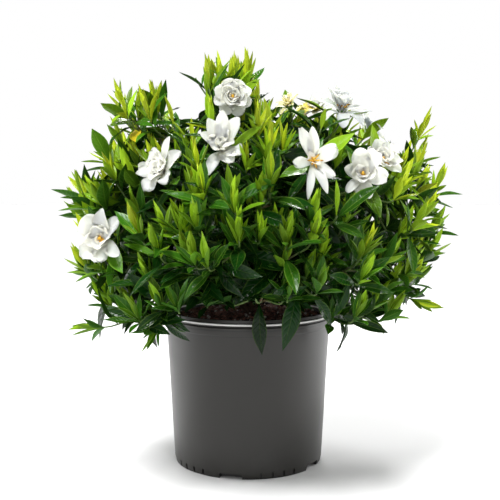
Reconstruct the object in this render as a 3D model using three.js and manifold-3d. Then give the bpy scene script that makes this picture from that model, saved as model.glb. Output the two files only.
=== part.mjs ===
// Potted gardenia: a bushy shrub in flower in a plain nursery pot.
// Millimetres, +Z up. The origin is the middle of the pot's underside.
// -Y is the side that is looked at.

import * as THREE from 'three';
import { mergeVertices } from 'three/addons/utils/BufferGeometryUtils.js';
import Module from 'manifold-3d';

const wasm = await Module();
wasm.setup();

// Pot
const POT_FACETS = 36;
const RIM_RADIUS = 116.6;
const RIM_HEIGHT = 214.6;
const WALL_TOP_RADIUS = 114.4;
const WALL_TOP_HEIGHT = 192;
const FOOT_RADIUS = 104.2;
const FOOT_EDGE_RADIUS = 102.6;
const FOOT_EDGE_HEIGHT = 6;
const WALL = 2.2;
const REST_DISC_RADIUS = 62;
const CHANNEL_HEIGHT = 5;
const FLOOR_TOP = 8;
const INNER_BEVEL = 4;
const DRAIN_COUNT = 5;
const DRAIN_DEPTH = 16;
const DRAIN_WIDTH = 31;
const DRAIN_HEIGHT = 7.5;
const DRAIN_TURN = THREE.MathUtils.degToRad(-103);
const GROOVES_PER_GAP = 4;
const GROOVE_PITCH = THREE.MathUtils.degToRad(9);
const GROOVE_WIDTH = 2.4;
const GROOVE_TOP = 8.5;
const GROOVE_DEPTH = 0.9;

// Soil
const GAP = 0.3;
const SOIL_EDGE_HEIGHT = 202;
const SOIL_MOUND_HEIGHT = 208;
const SOIL_MOUND_RADIUS = 76;
const SOIL_ROUGHNESS = 2.4;

// Crown and limbs
const CROWN_RADIUS = 9;
const CROWN_SIDES = 8;
const ROOT_DEPTH = 90;
const CROWN_HEIGHT = 222;
const LIMB_SINK = 10;
const LIMB_BEND = 0.3;
const LIMB_RISE = 0.55;
const LIMB_START_RADIUS = 6.5;
const LIMB_END_RADIUS = 4.2;
const FORK_RADIUS = 2.9;
const STEM_TIP_RADIUS = 1.8;
const BLOOM_STALK_RADIUS = 2.3;
const STEM_SIDES = 4;
const LIMB_STEPS = 2;

// Forks of the limbs: each tier is a ring of places that the leafy stems grow from
const TIERS = [
  { count: 5, radius: 84, height: 252, turn: 15 },
  { count: 4, radius: 78, height: 322, turn: 51 },
  { count: 3, radius: 46, height: 398, turn: 100 },
];

// Leafy stems
const SHOOT_LENGTH = 118;
const WOOD_SHARE = [0.22, 0.7];
const STEM_STEPS = 3;
const SIDE_STEM_STEPS = 2;
const SIDE_STEM_AT = 0.22;
const SIDE_LEAVES_FROM = 0.15;
const STEM_EASE = 0.34;
const STEM_LIFT = 0.1;
const OUTWARD_TURN = 0.55;
const BUSH_CENTRE = new THREE.Vector3(0, 0, 330);
const SEED = 2417;

// Leaves: where the pairs stand along the stem, how far they lean out from it, and their size
const LEAF_PAIRS = [
  { at: 0.9, count: 2, onSide: 2, lean: 48, length: 56, width: 17, droop: 0.16 },
  { at: 0.62, count: 2, onSide: 1, lean: 64, length: 66, width: 20, droop: 0.24 },
];
const YOUNG_TUFT = { at: 0.96, count: 2, onSide: 1, lean: 24, length: 38, width: 9.5, droop: -0.06 };
const BUD_LENGTH = 34;
const BUD_SWELL = 0.4;
const BUD_RADIUS = 3.6;
const FACE_TO_SKY = 0.5;
const LEAF_FOLD = 0.06;
const LEAF_THICKNESS = 1.1;
const PETIOLE_WIDTH = 1.5;
const LEAF_STATIONS = [0, 0.34, 0.68];
const YOUNG_STATIONS = [0, 0.45];
const PAIR_TURN = 90;
const PAIR_STEP = 0.025;
const SIZE_SPREAD = 0.24;
const LEAN_SPREAD = 16;
const TURN_SPREAD = 30;

// Other places that a leaf tries when its first one is taken: turned round the stem and leaned, in degrees
const BENDS = [
  [0, 0], [18, -8], [-18, -8], [34, 6], [-34, 6], [12, 16], [-12, 16], [50, -12], [-50, -12],
];
const BLADE_CLEARANCE = 0.45;
const BLADE_START = 0.24;

// Blooms
const CORE_RADIUS = 4.6;
const CORE_TOP_RADIUS = 3.7;
const CORE_SIDES = 6;
const CORE_LENGTH = 9;
const PETAL_THICKNESS = 1.2;
const PETAL_ROOT_WIDTH = 2.6;
const PETAL_FOLD = 0.06;
const PETAL_LIFT = 9;
const PETAL_STATIONS = [0.05, 0.5, 0.82];
const PETAL_LAYERS = [
  { lean: 80, reach: 1, width: 0.62, cup: -0.16, root: 1.6, share: 1 },
  { lean: 48, reach: 0.72, width: 0.58, cup: -0.3, root: 3.6, share: 0.55 },
];
const ANTHER_COUNT = 5;
const HEART_RINGS = [
  { height: 0, point: 1.7, notch: 1.4 },
  { height: 4.5, point: 5.6, notch: 1.5 },
  { height: 10, point: 1.5, notch: 1.3 },
];

// Tips of the leafy stems, one or two for each: x, y, z. The first ones end in the blooms, in their order
const SHOOTS = [
  [[-183, -112, 316]],
  [[-100, -140, 402], [-150, -70, 392]],
  [[-30, -158, 428], [-62, -176, 372]],
  [[-20, -66, 498], [-52, -8, 520]],
  [[78, -166, 416], [108, -176, 352]],
  [[143, -136, 399], [190, -72, 372]],
  [[168, -96, 414]],
  [[128, -14, 484], [96, -70, 462]],
  [[173, 60, 462]],
  [[59, 6, 494]],
  [[102, 46, 489]],
  [[-166, -12, 484], [-126, 18, 490]],
  [[-192, -22, 424]],
  [[-222, -26, 372], [-236, 34, 346]],
  [[-192, -84, 364]],
  [[-216, -48, 272], [-200, 24, 262]],
  [[-146, -112, 228]],
  [[-120, -150, 268], [-132, -158, 326]],
  [[-70, -202, 300]],
  [[-10, -222, 326]],
  [[-20, -206, 378]],
  [[46, -212, 322]],
  [[10, -160, 252], [70, -178, 276]],
  [[26, -200, 392]],
  [[28, -124, 456]],
  [[140, -166, 304]],
  [[236, 12, 420], [258, -4, 378]],
  [[232, -62, 344]],
  [[246, -14, 288], [214, -46, 252]],
  [[152, -122, 228]],
  [[0, 34, 536]],
  [[-206, 116, 420], [-214, 118, 330]],
  [[-120, 158, 456]],
  [[-124, 200, 344], [-160, 150, 250]],
  [[24, 152, 486], [34, 214, 410]],
  [[-22, 236, 332], [0, 212, 246]],
  [[138, 168, 426], [124, 204, 336]],
  [[212, 118, 344], [192, 146, 258]],
];

// Blooms at the first tips: the way that each faces, its petals' reach and number, and its yellow heart
const BLOOMS = [
  { face: [-0.3, -0.9, 0.35], reach: 31, petals: 6, heart: true },
  { face: [-0.62, -0.62, 0.48], reach: 29, petals: 5, heart: false },
  { face: [-0.1, -0.72, 0.68], reach: 29, petals: 5, heart: false },
  { face: [0.02, -0.93, 0.36], reach: 28, petals: 6, heart: true },
  { face: [0.1, -0.95, 0.28], reach: 41, petals: 6, heart: true },
  { face: [-0.05, -0.94, 0.32], reach: 33, petals: 6, heart: true },
  { face: [0.3, -0.78, 0.55], reach: 31, petals: 6, heart: true },
  { face: [0.05, -0.35, 0.94], reach: 33, petals: 6, heart: true },
  { face: [0.5, 0.2, 0.84], reach: 28, petals: 5, heart: false },
  { face: [-0.3, -0.5, 0.8], reach: 25, petals: 5, heart: false },
  { face: [-0.2, -0.4, 0.88], reach: 26, petals: 5, heart: false },
];

// Finishes
const FINISH = {
  pot: { color: 0x6a6a64, roughness: 0.55, metalness: 0 },
  soil: { color: 0x3a211a, roughness: 0.95, metalness: 0 },
  wood: { color: 0x6b4f37, roughness: 0.85, metalness: 0 },
  leaf: { color: 0x3f8a1e, roughness: 0.4, metalness: 0 },
  petal: { color: 0xf6f5ee, roughness: 0.6, metalness: 0 },
  heart: { color: 0xe6b43c, roughness: 0.7, metalness: 0 },
};

// Edges shorter than this, left by joins, are closed up
const SLIVER = 0.2;
const NO_VOLUME = 1e-6;

const UP = new THREE.Vector3(0, 0, 1);
const NEAR_UP = new THREE.Vector3(0.2, 0.3, 1);
const ASIDE = new THREE.Vector3(1, 0, 0);
const FULL_TURN = Math.PI * 2;

// Seeded random numbers from 0 to 1
function drawFrom(seed) {
  let state = seed >>> 0;
  return () => {
    state = (Math.imul(state, 1664525) + 1013904223) >>> 0;
    return (state >>> 8) / 0x1000000;
  };
}

function spread(draw, amount) {
  return (draw() * 2 - 1) * amount;
}

function vector(list) {
  return new THREE.Vector3(...list);
}

// The way at an angle from the first way towards the second, which is square to it
function between(first, second, angle) {
  return first.clone().multiplyScalar(Math.cos(angle)).addScaledVector(second, Math.sin(angle));
}

// Solids

function merged(geometry) {
  const bare = geometry.clone();
  bare.deleteAttribute('normal');
  bare.deleteAttribute('uv');
  return mergeVertices(bare);
}

function solidOf(geometry) {
  const { attributes, index } = merged(geometry);
  const vertProperties = new Float32Array(attributes.position.array);
  const triVerts = new Uint32Array(index.array);
  return new wasm.Manifold(new wasm.Mesh({ numProp: 3, vertProperties, triVerts }));
}

function meshOf(name, solid, finish) {
  const { numProp, vertProperties, triVerts } = solid.asOriginal().simplify(SLIVER).getMesh();
  const geometry = new THREE.BufferGeometry();
  geometry.setAttribute('position', new THREE.BufferAttribute(vertProperties, numProp));
  geometry.setIndex(new THREE.BufferAttribute(triVerts, 1));
  const mesh = new THREE.Mesh(geometry, new THREE.MeshStandardMaterial({ ...finish, flatShading: true }));
  mesh.name = name;
  return mesh;
}

function signedVolume(corners, faces) {
  return faces.reduce((sum, [a, b, c]) => {
    const normal = new THREE.Vector3().crossVectors(corners[b], corners[c]);
    return sum + corners[a].dot(normal) / 6;
  }, 0);
}

// A closed solid through rings of corners, with a flat first end and a flat or pointed last end.
// The quads' diagonals mirror each other round the ring, so both faces of a blade are split alike.
function ringSolid(rings, tip) {
  const count = rings[0].length;
  const corners = rings.flat();
  const faces = [];
  for (let row = 0; row + 1 < rings.length; row += 1) {
    for (let k = 0; k < count; k += 1) {
      const a = row * count + k;
      const b = row * count + (k + 1) % count;
      const upper = k % 2 ? [[a, b, a + count], [b, b + count, a + count]]
        : [[a, b, b + count], [a, b + count, a + count]];
      faces.push(...upper);
    }
  }
  for (let k = 1; k + 1 < count; k += 1) faces.push([0, k + 1, k]);
  const last = corners.length - count;
  if (tip) corners.push(tip);
  for (let k = tip ? 0 : 1; k < (tip ? count : count - 1); k += 1) {
    const toTip = [last + k, last + (k + 1) % count, corners.length - 1];
    faces.push(tip ? toTip : [last, last + k, last + k + 1]);
  }
  const outward = signedVolume(corners, faces) > 0 ? faces : faces.map(([a, b, c]) => [a, c, b]);
  const vertProperties = new Float32Array(corners.flatMap((corner) => corner.toArray()));
  const triVerts = new Uint32Array(outward.flat());
  return new wasm.Manifold(new wasm.Mesh({ numProp: 3, vertProperties, triVerts }));
}

// Corners round a point, square to the way that a bar runs there, the first one to the given side
function ringRound(point, aim, aside, radius, sides) {
  const side = aside.clone().addScaledVector(aim, -aside.dot(aim)).normalize();
  const across = aim.clone().cross(side);
  return Array.from({ length: sides }, (_, k) => {
    const angle = FULL_TURN * k / sides;
    return point.clone()
      .addScaledVector(side, radius * Math.cos(angle))
      .addScaledVector(across, radius * Math.sin(angle));
  });
}

// A straight bar with a radius at each of its points
function barSolid(points, radii, sides) {
  const aim = points.at(-1).clone().sub(points[0]).normalize();
  const aside = Math.abs(aim.x) < 0.9 ? ASIDE : UP;
  return ringSolid(points.map((point, i) => ringRound(point, aim, aside, radii[i], sides)));
}

// Level, and square to the upright plane that a curve lies in or near
function asideOf(line) {
  return line.getPoint(1).sub(line.getPoint(0)).cross(UP).normalize();
}

// A tapering bar of straight steps along a stretch of a curve, with square ends
function curvedRings({ line, from, to, steps }, startRadius, endRadius) {
  return Array.from({ length: steps + 1 }, (_, i) => {
    const t = from + (to - from) * i / steps;
    const radius = THREE.MathUtils.lerp(startRadius, endRadius, i / steps);
    return ringRound(line.getPoint(t), line.getTangent(t), asideOf(line), radius, STEM_SIDES);
  });
}

// The middle of such a bar at a share of its length, which is beside the curve between two rings
function barPoint({ line, from, to, steps }, share) {
  const step = Math.min(Math.floor(share * steps), steps - 1);
  const at = (k) => line.getPoint(from + (to - from) * k / steps);
  return at(step).lerp(at(step + 1), share * steps - step);
}

// Pot

function potProfile() {
  const inner = WALL_TOP_RADIUS - WALL;
  return [
    [0, 0], [REST_DISC_RADIUS, 0], [REST_DISC_RADIUS + 4, CHANNEL_HEIGHT],
    [FOOT_EDGE_RADIUS - 9, CHANNEL_HEIGHT], [FOOT_EDGE_RADIUS - 4, 0], [FOOT_EDGE_RADIUS, 0],
    [FOOT_RADIUS, FOOT_EDGE_HEIGHT],
    [WALL_TOP_RADIUS, WALL_TOP_HEIGHT], [WALL_TOP_RADIUS + 0.8, WALL_TOP_HEIGHT + 2],
    [WALL_TOP_RADIUS + 1.2, WALL_TOP_HEIGHT + 11.4], [WALL_TOP_RADIUS + 0.2, WALL_TOP_HEIGHT + 12.6],
    [RIM_RADIUS - 0.5, WALL_TOP_HEIGHT + 14.2], [RIM_RADIUS, WALL_TOP_HEIGHT + 15.6],
    [RIM_RADIUS - 0.6, WALL_TOP_HEIGHT + 17], [WALL_TOP_RADIUS + 0.2, WALL_TOP_HEIGHT + 18],
    [WALL_TOP_RADIUS - 0.2, RIM_HEIGHT - 0.6], [WALL_TOP_RADIUS - 0.8, RIM_HEIGHT],
    [WALL_TOP_RADIUS - 1.8, RIM_HEIGHT - 0.4],
    [inner, WALL_TOP_HEIGHT], [FOOT_RADIUS - WALL, FLOOR_TOP + INNER_BEVEL],
    [FOOT_RADIUS - WALL - INNER_BEVEL, FLOOR_TOP],
    [0, FLOOR_TOP],
  ];
}

function lathed(profile) {
  const points = profile.map(([radius, height]) => new THREE.Vector2(radius, height));
  const geometry = new THREE.LatheGeometry(points, POT_FACETS, 0);
  geometry.rotateX(Math.PI / 2);
  return merged(geometry);
}

// A block that stands across the foot ring, turned round the pot's axis
function footBlock(turn, depth, width, height) {
  const geometry = new THREE.BoxGeometry(depth, width, height * 2);
  geometry.translate(FOOT_RADIUS, 0, 0);
  geometry.rotateZ(turn);
  return solidOf(geometry);
}

function potSolid() {
  const cuts = [];
  for (let drain = 0; drain < DRAIN_COUNT; drain += 1) {
    const turn = DRAIN_TURN + FULL_TURN * drain / DRAIN_COUNT;
    cuts.push(footBlock(turn, DRAIN_DEPTH, DRAIN_WIDTH, DRAIN_HEIGHT));
    const middle = turn + FULL_TURN / DRAIN_COUNT / 2;
    for (let groove = 0; groove < GROOVES_PER_GAP; groove += 1) {
      const grooveTurn = middle + (groove - (GROOVES_PER_GAP - 1) / 2) * GROOVE_PITCH;
      cuts.push(footBlock(grooveTurn, 2 * GROOVE_DEPTH, GROOVE_WIDTH, GROOVE_TOP));
    }
  }
  return solidOf(lathed(potProfile())).subtract(wasm.Manifold.union(cuts));
}

// Soil

function soilProfile() {
  const bottom = FLOOR_TOP + GAP;
  const floorRadius = FOOT_RADIUS - WALL - INNER_BEVEL - GAP;
  const topRadius = WALL_TOP_RADIUS - WALL - 2 * GAP;
  return [
    [0, bottom], [floorRadius, bottom], [FOOT_RADIUS - WALL - 2 * GAP, bottom + INNER_BEVEL],
    [topRadius, WALL_TOP_HEIGHT], [topRadius, SOIL_EDGE_HEIGHT],
    [SOIL_MOUND_RADIUS, SOIL_EDGE_HEIGHT + 2.5], [SOIL_MOUND_RADIUS / 2, SOIL_MOUND_HEIGHT - 1],
    [0, SOIL_MOUND_HEIGHT],
  ];
}

// The soil's top is uneven, and the crown stands in a plain hole in it
function soilSolid(hole) {
  const geometry = lathed(soilProfile());
  const draw = drawFrom(SEED);
  const { position } = geometry.attributes;
  for (let i = 0; i < position.count; i += 1) {
    const roughness = spread(draw, SOIL_ROUGHNESS);
    if (position.getZ(i) > WALL_TOP_HEIGHT + 1) position.setZ(i, position.getZ(i) + roughness);
  }
  return solidOf(geometry).subtract(hole);
}

// The crown as it stands in the soil, or its hole, which is wider by a gap
function crownSolid(gap) {
  const heights = [CROWN_HEIGHT - ROOT_DEPTH - gap, CROWN_HEIGHT];
  const points = heights.map((height) => new THREE.Vector3(0, 0, height));
  const radius = CROWN_RADIUS + gap / Math.cos(Math.PI / CROWN_SIDES);
  return barSolid(points, [radius, radius], CROWN_SIDES);
}

// Woody limbs and their forks

function tierForks(tier) {
  return Array.from({ length: tier.count }, (_, k) => {
    const angle = THREE.MathUtils.degToRad(tier.turn) + FULL_TURN * k / tier.count;
    return new THREE.Vector3(tier.radius * Math.cos(angle), tier.radius * Math.sin(angle), tier.height);
  });
}

const FORKS = TIERS.flatMap(tierForks);

function limbSolid(fork) {
  const start = new THREE.Vector3(0, 0, CROWN_HEIGHT - LIMB_SINK);
  const bend = start.clone().lerp(fork, LIMB_BEND).setZ(THREE.MathUtils.lerp(start.z, fork.z, LIMB_RISE));
  const curve = new THREE.QuadraticBezierCurve3(start, bend, fork);
  const limb = { line: curve, from: 0, to: 1, steps: LIMB_STEPS };
  return ringSolid(curvedRings(limb, LIMB_START_RADIUS, LIMB_END_RADIUS));
}

function nearestFork(tip) {
  const fromTop = (fork) => fork.distanceTo(tip) + Math.max(fork.z - tip.z, 0);
  return FORKS.reduce((best, fork) => (fromTop(fork) < fromTop(best) ? fork : best));
}

// The way that a leafy stem ends: upright and a little outward
function endOf(tip) {
  const outward = tip.clone().sub(BUSH_CENTRE).normalize();
  return outward.multiplyScalar(OUTWARD_TURN).add(UP).normalize();
}

// A stem's line from its fork to its tip
function stemLine(from, tip, end) {
  const reach = from.distanceTo(tip);
  const first = from.clone().lerp(tip, STEM_EASE).addScaledVector(UP, STEM_LIFT * reach);
  const second = tip.clone().addScaledVector(end, -STEM_EASE * reach);
  return new THREE.CubicBezierCurve3(from, first, second, tip);
}

// How far a curve's point moves for each unit of its parameter
function lineSpeed(line, t) {
  const step = 1e-3;
  return line.getPoint(t).distanceTo(line.getPoint(t + step)) / step;
}

// Where on a stem's line the leafy stem takes over from the wood
function takeOver(line) {
  const reach = line.v0.distanceTo(line.v3);
  return THREE.MathUtils.clamp(1 - SHOOT_LENGTH / reach, ...WOOD_SHARE);
}

function trunkSolid(plans) {
  const limbs = FORKS.map(limbSolid);
  const twigs = plans.map(({ wood }) => ringSolid(curvedRings(wood, LIMB_END_RADIUS, FORK_RADIUS)));
  return wasm.Manifold.union([crownSolid(0), ...limbs, ...twigs]);
}

// Leafy stems

function shootPlan(tips, index) {
  const bloom = BLOOMS[index];
  const mainTip = vector(tips[0]);
  const end = bloom ? vector(bloom.face).normalize() : endOf(mainTip);
  const line = stemLine(nearestFork(mainTip), mainTip, end);
  const start = takeOver(line);
  const wood = { line, from: 0, to: start, steps: 1 };
  const stems = [{ line, from: start + GAP / lineSpeed(line, start), to: 1, steps: STEM_STEPS, bloom }];
  if (tips[1]) {
    const sideTip = vector(tips[1]);
    const sideLine = stemLine(barPoint(stems[0], SIDE_STEM_AT), sideTip, endOf(sideTip));
    stems.push({ line: sideLine, from: 0, to: 1, steps: SIDE_STEM_STEPS, side: true });
  }
  return { index, bloom, wood, stems };
}

// The leafy stem itself. It ends square under a bloom, and elsewhere in a pointed bud of folded leaves
function stemSolid(stem) {
  if (stem.bloom) return ringSolid(curvedRings(stem, FORK_RADIUS, BLOOM_STALK_RADIUS));
  const rings = curvedRings(stem, FORK_RADIUS, STEM_TIP_RADIUS);
  const end = stem.line.getPoint(1);
  const aim = stem.line.getTangent(1);
  const swell = end.clone().addScaledVector(aim, BUD_SWELL * BUD_LENGTH);
  rings.push(ringRound(swell, aim, asideOf(stem.line), BUD_RADIUS, STEM_SIDES));
  return ringSolid(rings, end.addScaledVector(aim, BUD_LENGTH));
}

// The width of a leaf along its length, from 0 to 1
function leafOutline(t) {
  return Math.sin(Math.PI * t ** 0.9) ** 0.9;
}

// One leaf's own line and the directions across it and out of its upper face
function leafFrame(leaf, bend) {
  const { line, from, to } = leaf.stem;
  const root = barPoint(leaf.stem, leaf.at);
  const along = line.getTangent(from + (to - from) * leaf.at);
  const aside = along.clone().cross(UP).normalize();
  const above = aside.clone().cross(along);
  const turn = THREE.MathUtils.degToRad(leaf.turn + bend[0]);
  const lean = THREE.MathUtils.degToRad(leaf.lean + bend[1]);
  const outward = between(aside, above, turn);
  const direction = between(along, outward, lean);
  const face = along.clone().addScaledVector(UP, FACE_TO_SKY);
  face.addScaledVector(direction, -face.dot(direction)).normalize();
  return { root, direction, face, across: direction.clone().cross(face) };
}

function leafPoint(frame, leaf, t) {
  return frame.root.clone()
    .addScaledVector(frame.direction, leaf.length * t)
    .addScaledVector(frame.face, -leaf.droop * leaf.length * t * t);
}

// A thin blade of two edges and a rib under them, along stations to its tip
function bladeSolid(stations, tip) {
  return ringSolid(stations.map(({ middle, across, face, half, fold, thick }) => {
    const edge = middle.clone().addScaledVector(face, fold * half + thick / 2);
    return [
      edge.clone().addScaledVector(across, -half),
      edge.clone().addScaledVector(across, half),
      middle.clone().addScaledVector(face, -thick / 2),
    ];
  }), tip);
}

// One leaf. From a later start and with some clearance it serves to test for room
function leafSolid(leaf, bend, from = 0, clearance = 0) {
  const frame = leafFrame(leaf, bend);
  const stations = leaf.young ? YOUNG_STATIONS : LEAF_STATIONS;
  const blade = [from, ...stations.slice(1)].map((t) => ({
    middle: leafPoint(frame, leaf, t),
    across: frame.across,
    face: frame.face,
    half: Math.max(leaf.width * leafOutline(t), PETIOLE_WIDTH) / 2 + clearance,
    fold: LEAF_FOLD,
    thick: LEAF_THICKNESS + 2 * clearance,
  }));
  return bladeSolid(blade, leafPoint(frame, leaf, 1 + clearance / leaf.length));
}

// The leaves of one stem, from the youngest down
function leavesOf(plan, stem, draw) {
  const rows = stem.bloom ? LEAF_PAIRS : [YOUNG_TUFT, ...LEAF_PAIRS];
  const baseTurn = draw() * 360;
  const bare = stem.side ? SIDE_LEAVES_FROM : 0;
  return rows.flatMap((row, level) => Array.from({ length: stem.side ? row.onSide : row.count }, (_, k) => {
    const size = 1 + spread(draw, SIZE_SPREAD);
    return {
      plan: plan.index,
      stem,
      level,
      young: row === YOUNG_TUFT,
      at: bare + (1 - bare) * (row.at - PAIR_STEP * k),
      turn: baseTurn + 360 * k / row.count + PAIR_TURN * level + spread(draw, TURN_SPREAD),
      lean: row.lean + spread(draw, row === YOUNG_TUFT ? LEAN_SPREAD / 3 : LEAN_SPREAD),
      length: row.length * size,
      width: row.width * size,
      droop: row.droop * (0.5 + draw()),
    };
  }));
}

// Blooms

function petalOutline(t) {
  return Math.sin(Math.PI * t ** 2.4) ** 0.5;
}

function bloomFrame(plan) {
  const { line } = plan.stems[0];
  const axis = line.getTangent(1);
  const aside = axis.clone().cross(NEAR_UP).normalize();
  const above = axis.clone().cross(aside);
  return { base: line.getPoint(1).addScaledVector(axis, GAP), axis, aside, above };
}

function petalSolid(frame, reach, layer, turn, lift) {
  const outward = between(frame.aside, frame.above, turn);
  const lean = THREE.MathUtils.degToRad(layer.lean - lift);
  const direction = between(frame.axis, outward, lean);
  const face = between(outward, frame.axis, Math.PI - lean);
  const across = direction.clone().cross(face);
  const length = reach * layer.reach;
  const root = frame.base.clone().addScaledVector(frame.axis, layer.root);
  const middleAt = (t) => root.clone()
    .addScaledVector(direction, length * t)
    .addScaledVector(face, -layer.cup * length * t * t);
  const blade = PETAL_STATIONS.map((t) => ({
    middle: middleAt(t),
    across,
    face,
    half: Math.max(length * layer.width * petalOutline(t), PETAL_ROOT_WIDTH) / 2,
    fold: PETAL_FOLD,
    thick: PETAL_THICKNESS,
  }));
  return bladeSolid(blade, middleAt(1));
}

function bloomSolid(plan) {
  const frame = bloomFrame(plan);
  const along = [0, 0.5, 1].map((t) => frame.base.clone().addScaledVector(frame.axis, CORE_LENGTH * t));
  const parts = [barSolid(along, [BLOOM_STALK_RADIUS, CORE_RADIUS, CORE_TOP_RADIUS], CORE_SIDES)];
  PETAL_LAYERS.forEach((layer, row) => {
    const count = Math.round(plan.bloom.petals * layer.share);
    for (let k = 0; k < count; k += 1) {
      const turn = FULL_TURN * (k + row * 0.5) / count;
      parts.push(petalSolid(frame, plan.bloom.reach, layer, turn, (k % 2) * PETAL_LIFT));
    }
  });
  return wasm.Manifold.union(parts);
}

// Stigma, with a star of anthers at its foot
function heartSolid(plan) {
  const frame = bloomFrame(plan);
  const corners = 2 * ANTHER_COUNT;
  const rings = HEART_RINGS.map(({ height, point, notch }) => Array.from({ length: corners }, (_, k) => {
    const radius = k % 2 ? notch : point;
    const turn = FULL_TURN * k / corners;
    return frame.base.clone()
      .addScaledVector(frame.axis, CORE_LENGTH + GAP + height)
      .addScaledVector(frame.aside, radius * Math.cos(turn))
      .addScaledVector(frame.above, radius * Math.sin(turn));
  }));
  return ringSolid(rings);
}

// Room between solids

function boxesMeet(a, b) {
  return a.min.every((low, i) => low < b.max[i] && b.min[i] < a.max[i]);
}

function crosses(solid, others) {
  const box = solid.boundingBox();
  return others.filter((other) => boxesMeet(box, other.box))
    .some((other) => solid.intersect(other.solid).volume() > NO_VOLUME);
}

function standingAs(plan, solid) {
  return { plan, solid, box: solid.boundingBox() };
}

// Places the leaves one by one, each at the first bend that is clear of all that stands already.
// Leaves of one plant piece may meet near their roots, where they are joined to its stem.
function placeLeaves(leaves, stems, others) {
  const whole = [...others, ...stems];
  const blades = [...stems];
  const placed = stems.map(() => []);
  for (const leaf of leaves) {
    const strangers = whole.filter(({ plan }) => plan !== leaf.plan);
    const siblings = blades.filter(({ plan }) => plan === leaf.plan);
    const bend = BENDS.find((tried) => (
      !crosses(leafSolid(leaf, tried, 0, BLADE_CLEARANCE), strangers)
      && !crosses(leafSolid(leaf, tried, BLADE_START, BLADE_CLEARANCE), siblings)
    ));
    if (!bend) continue;
    const solid = leafSolid(leaf, bend);
    placed[leaf.plan].push(solid);
    whole.push(standingAs(leaf.plan, solid));
    blades.push(standingAs(leaf.plan, leafSolid(leaf, bend, BLADE_START)));
  }
  return placed;
}

function numbered(name, index) {
  return `${name}_${String(index + 1).padStart(2, '0')}`;
}

function buildPlant() {
  const plans = SHOOTS.map(shootPlan);
  const bloomPlans = plans.filter(({ bloom }) => bloom);
  const heartPlans = bloomPlans.filter(({ bloom }) => bloom.heart);
  const pieces = {
    pot: potSolid(),
    soil: soilSolid(crownSolid(GAP)),
    trunk: trunkSolid(plans),
    blooms: bloomPlans.map((plan) => ({ plan, solid: bloomSolid(plan) })),
    hearts: heartPlans.map((plan) => ({ plan, solid: heartSolid(plan) })),
  };
  const flowers = [...pieces.blooms, ...pieces.hearts].map(({ solid }) => solid);
  const others = [pieces.pot, pieces.soil, pieces.trunk, ...flowers].map((solid) => standingAs(-1, solid));
  const stemSolids = plans.map((plan) => wasm.Manifold.union(plan.stems.map(stemSolid)));
  const stems = stemSolids.map((solid, plan) => standingAs(plan, solid));
  const draw = drawFrom(SEED);
  const leaves = plans.flatMap((plan) => plan.stems.flatMap((stem) => leavesOf(plan, stem, draw)));
  leaves.sort((a, b) => a.level - b.level);
  const placed = placeLeaves(leaves, stems, others);
  pieces.shoots = stems.map(({ solid }, plan) => wasm.Manifold.union([solid, ...placed[plan]]));
  return pieces;
}

const plant = buildPlant();
const model = new THREE.Group();
model.add(meshOf('pot', plant.pot, FINISH.pot));
model.add(meshOf('soil', plant.soil, FINISH.soil));
model.add(meshOf('trunk', plant.trunk, FINISH.wood));
plant.shoots.forEach((solid, i) => model.add(meshOf(numbered('shoot', i), solid, FINISH.leaf)));
plant.blooms.forEach(({ plan, solid }) => {
  model.add(meshOf(numbered('bloom', plan.index), solid, FINISH.petal));
});
plant.hearts.forEach(({ plan, solid }) => {
  model.add(meshOf(numbered('heart', plan.index), solid, FINISH.heart));
});

export default model;
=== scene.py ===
# Potted gardenia in flower: a bushy shrub with glossy leaves and white blooms in a plain nursery pot.
# Metres, +Z up. The origin is the middle of the pot's underside, and -Y is the side that is looked at.

import math
from dataclasses import dataclass

import bmesh
import bpy
import numpy as np
from mathutils import Matrix, Vector, noise
from mathutils.kdtree import KDTree


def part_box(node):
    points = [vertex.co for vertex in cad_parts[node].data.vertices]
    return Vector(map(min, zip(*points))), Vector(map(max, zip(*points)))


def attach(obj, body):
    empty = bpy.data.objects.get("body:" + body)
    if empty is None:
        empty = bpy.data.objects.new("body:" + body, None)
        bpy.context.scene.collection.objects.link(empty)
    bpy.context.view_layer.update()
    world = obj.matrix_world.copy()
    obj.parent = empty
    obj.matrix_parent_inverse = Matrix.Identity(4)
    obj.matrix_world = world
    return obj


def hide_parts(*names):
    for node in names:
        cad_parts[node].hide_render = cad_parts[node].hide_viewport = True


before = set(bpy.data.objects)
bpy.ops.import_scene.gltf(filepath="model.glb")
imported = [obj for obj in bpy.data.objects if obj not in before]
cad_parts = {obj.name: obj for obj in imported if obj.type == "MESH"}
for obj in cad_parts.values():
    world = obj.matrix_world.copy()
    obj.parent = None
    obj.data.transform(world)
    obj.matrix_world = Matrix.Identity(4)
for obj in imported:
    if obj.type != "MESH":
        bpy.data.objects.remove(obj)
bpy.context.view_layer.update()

bl_info = {
    "name": "Potted Gardenia",
    "version": (1, 0, 0),
    "blender": (4, 5, 0),
    "location": "3D View > Sidebar > Gardenia",
    "description": "Builds a gardenia in flower in a plain nursery pot, round its solid model",
    "category": "Add Mesh",
}

MM = 0.001
FULL_TURN = 2 * math.pi
UP = np.array((0.0, 0.0, 1.0))
POT_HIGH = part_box("pot")[1]


# Sizes and colours that a user would change

def size_prop(name, description, default):
    return bpy.props.FloatProperty(
        name=name, description=description, default=default, min=0, unit="LENGTH", precision=4)


def share_prop(name, description, default, high=1.0):
    return bpy.props.FloatProperty(
        name=name, description=description, default=default, min=0, max=high, subtype="FACTOR")


def count_prop(name, description, default):
    return bpy.props.IntProperty(name=name, description=description, default=default, min=0)


def power_prop(name, description, default):
    return bpy.props.FloatProperty(name=name, description=description, default=default, min=0, unit="POWER")


def colour_prop(name, description, default):
    return bpy.props.FloatVectorProperty(
        name=name, description=description, default=default, size=3, min=0, max=1, subtype="COLOR")


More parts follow.
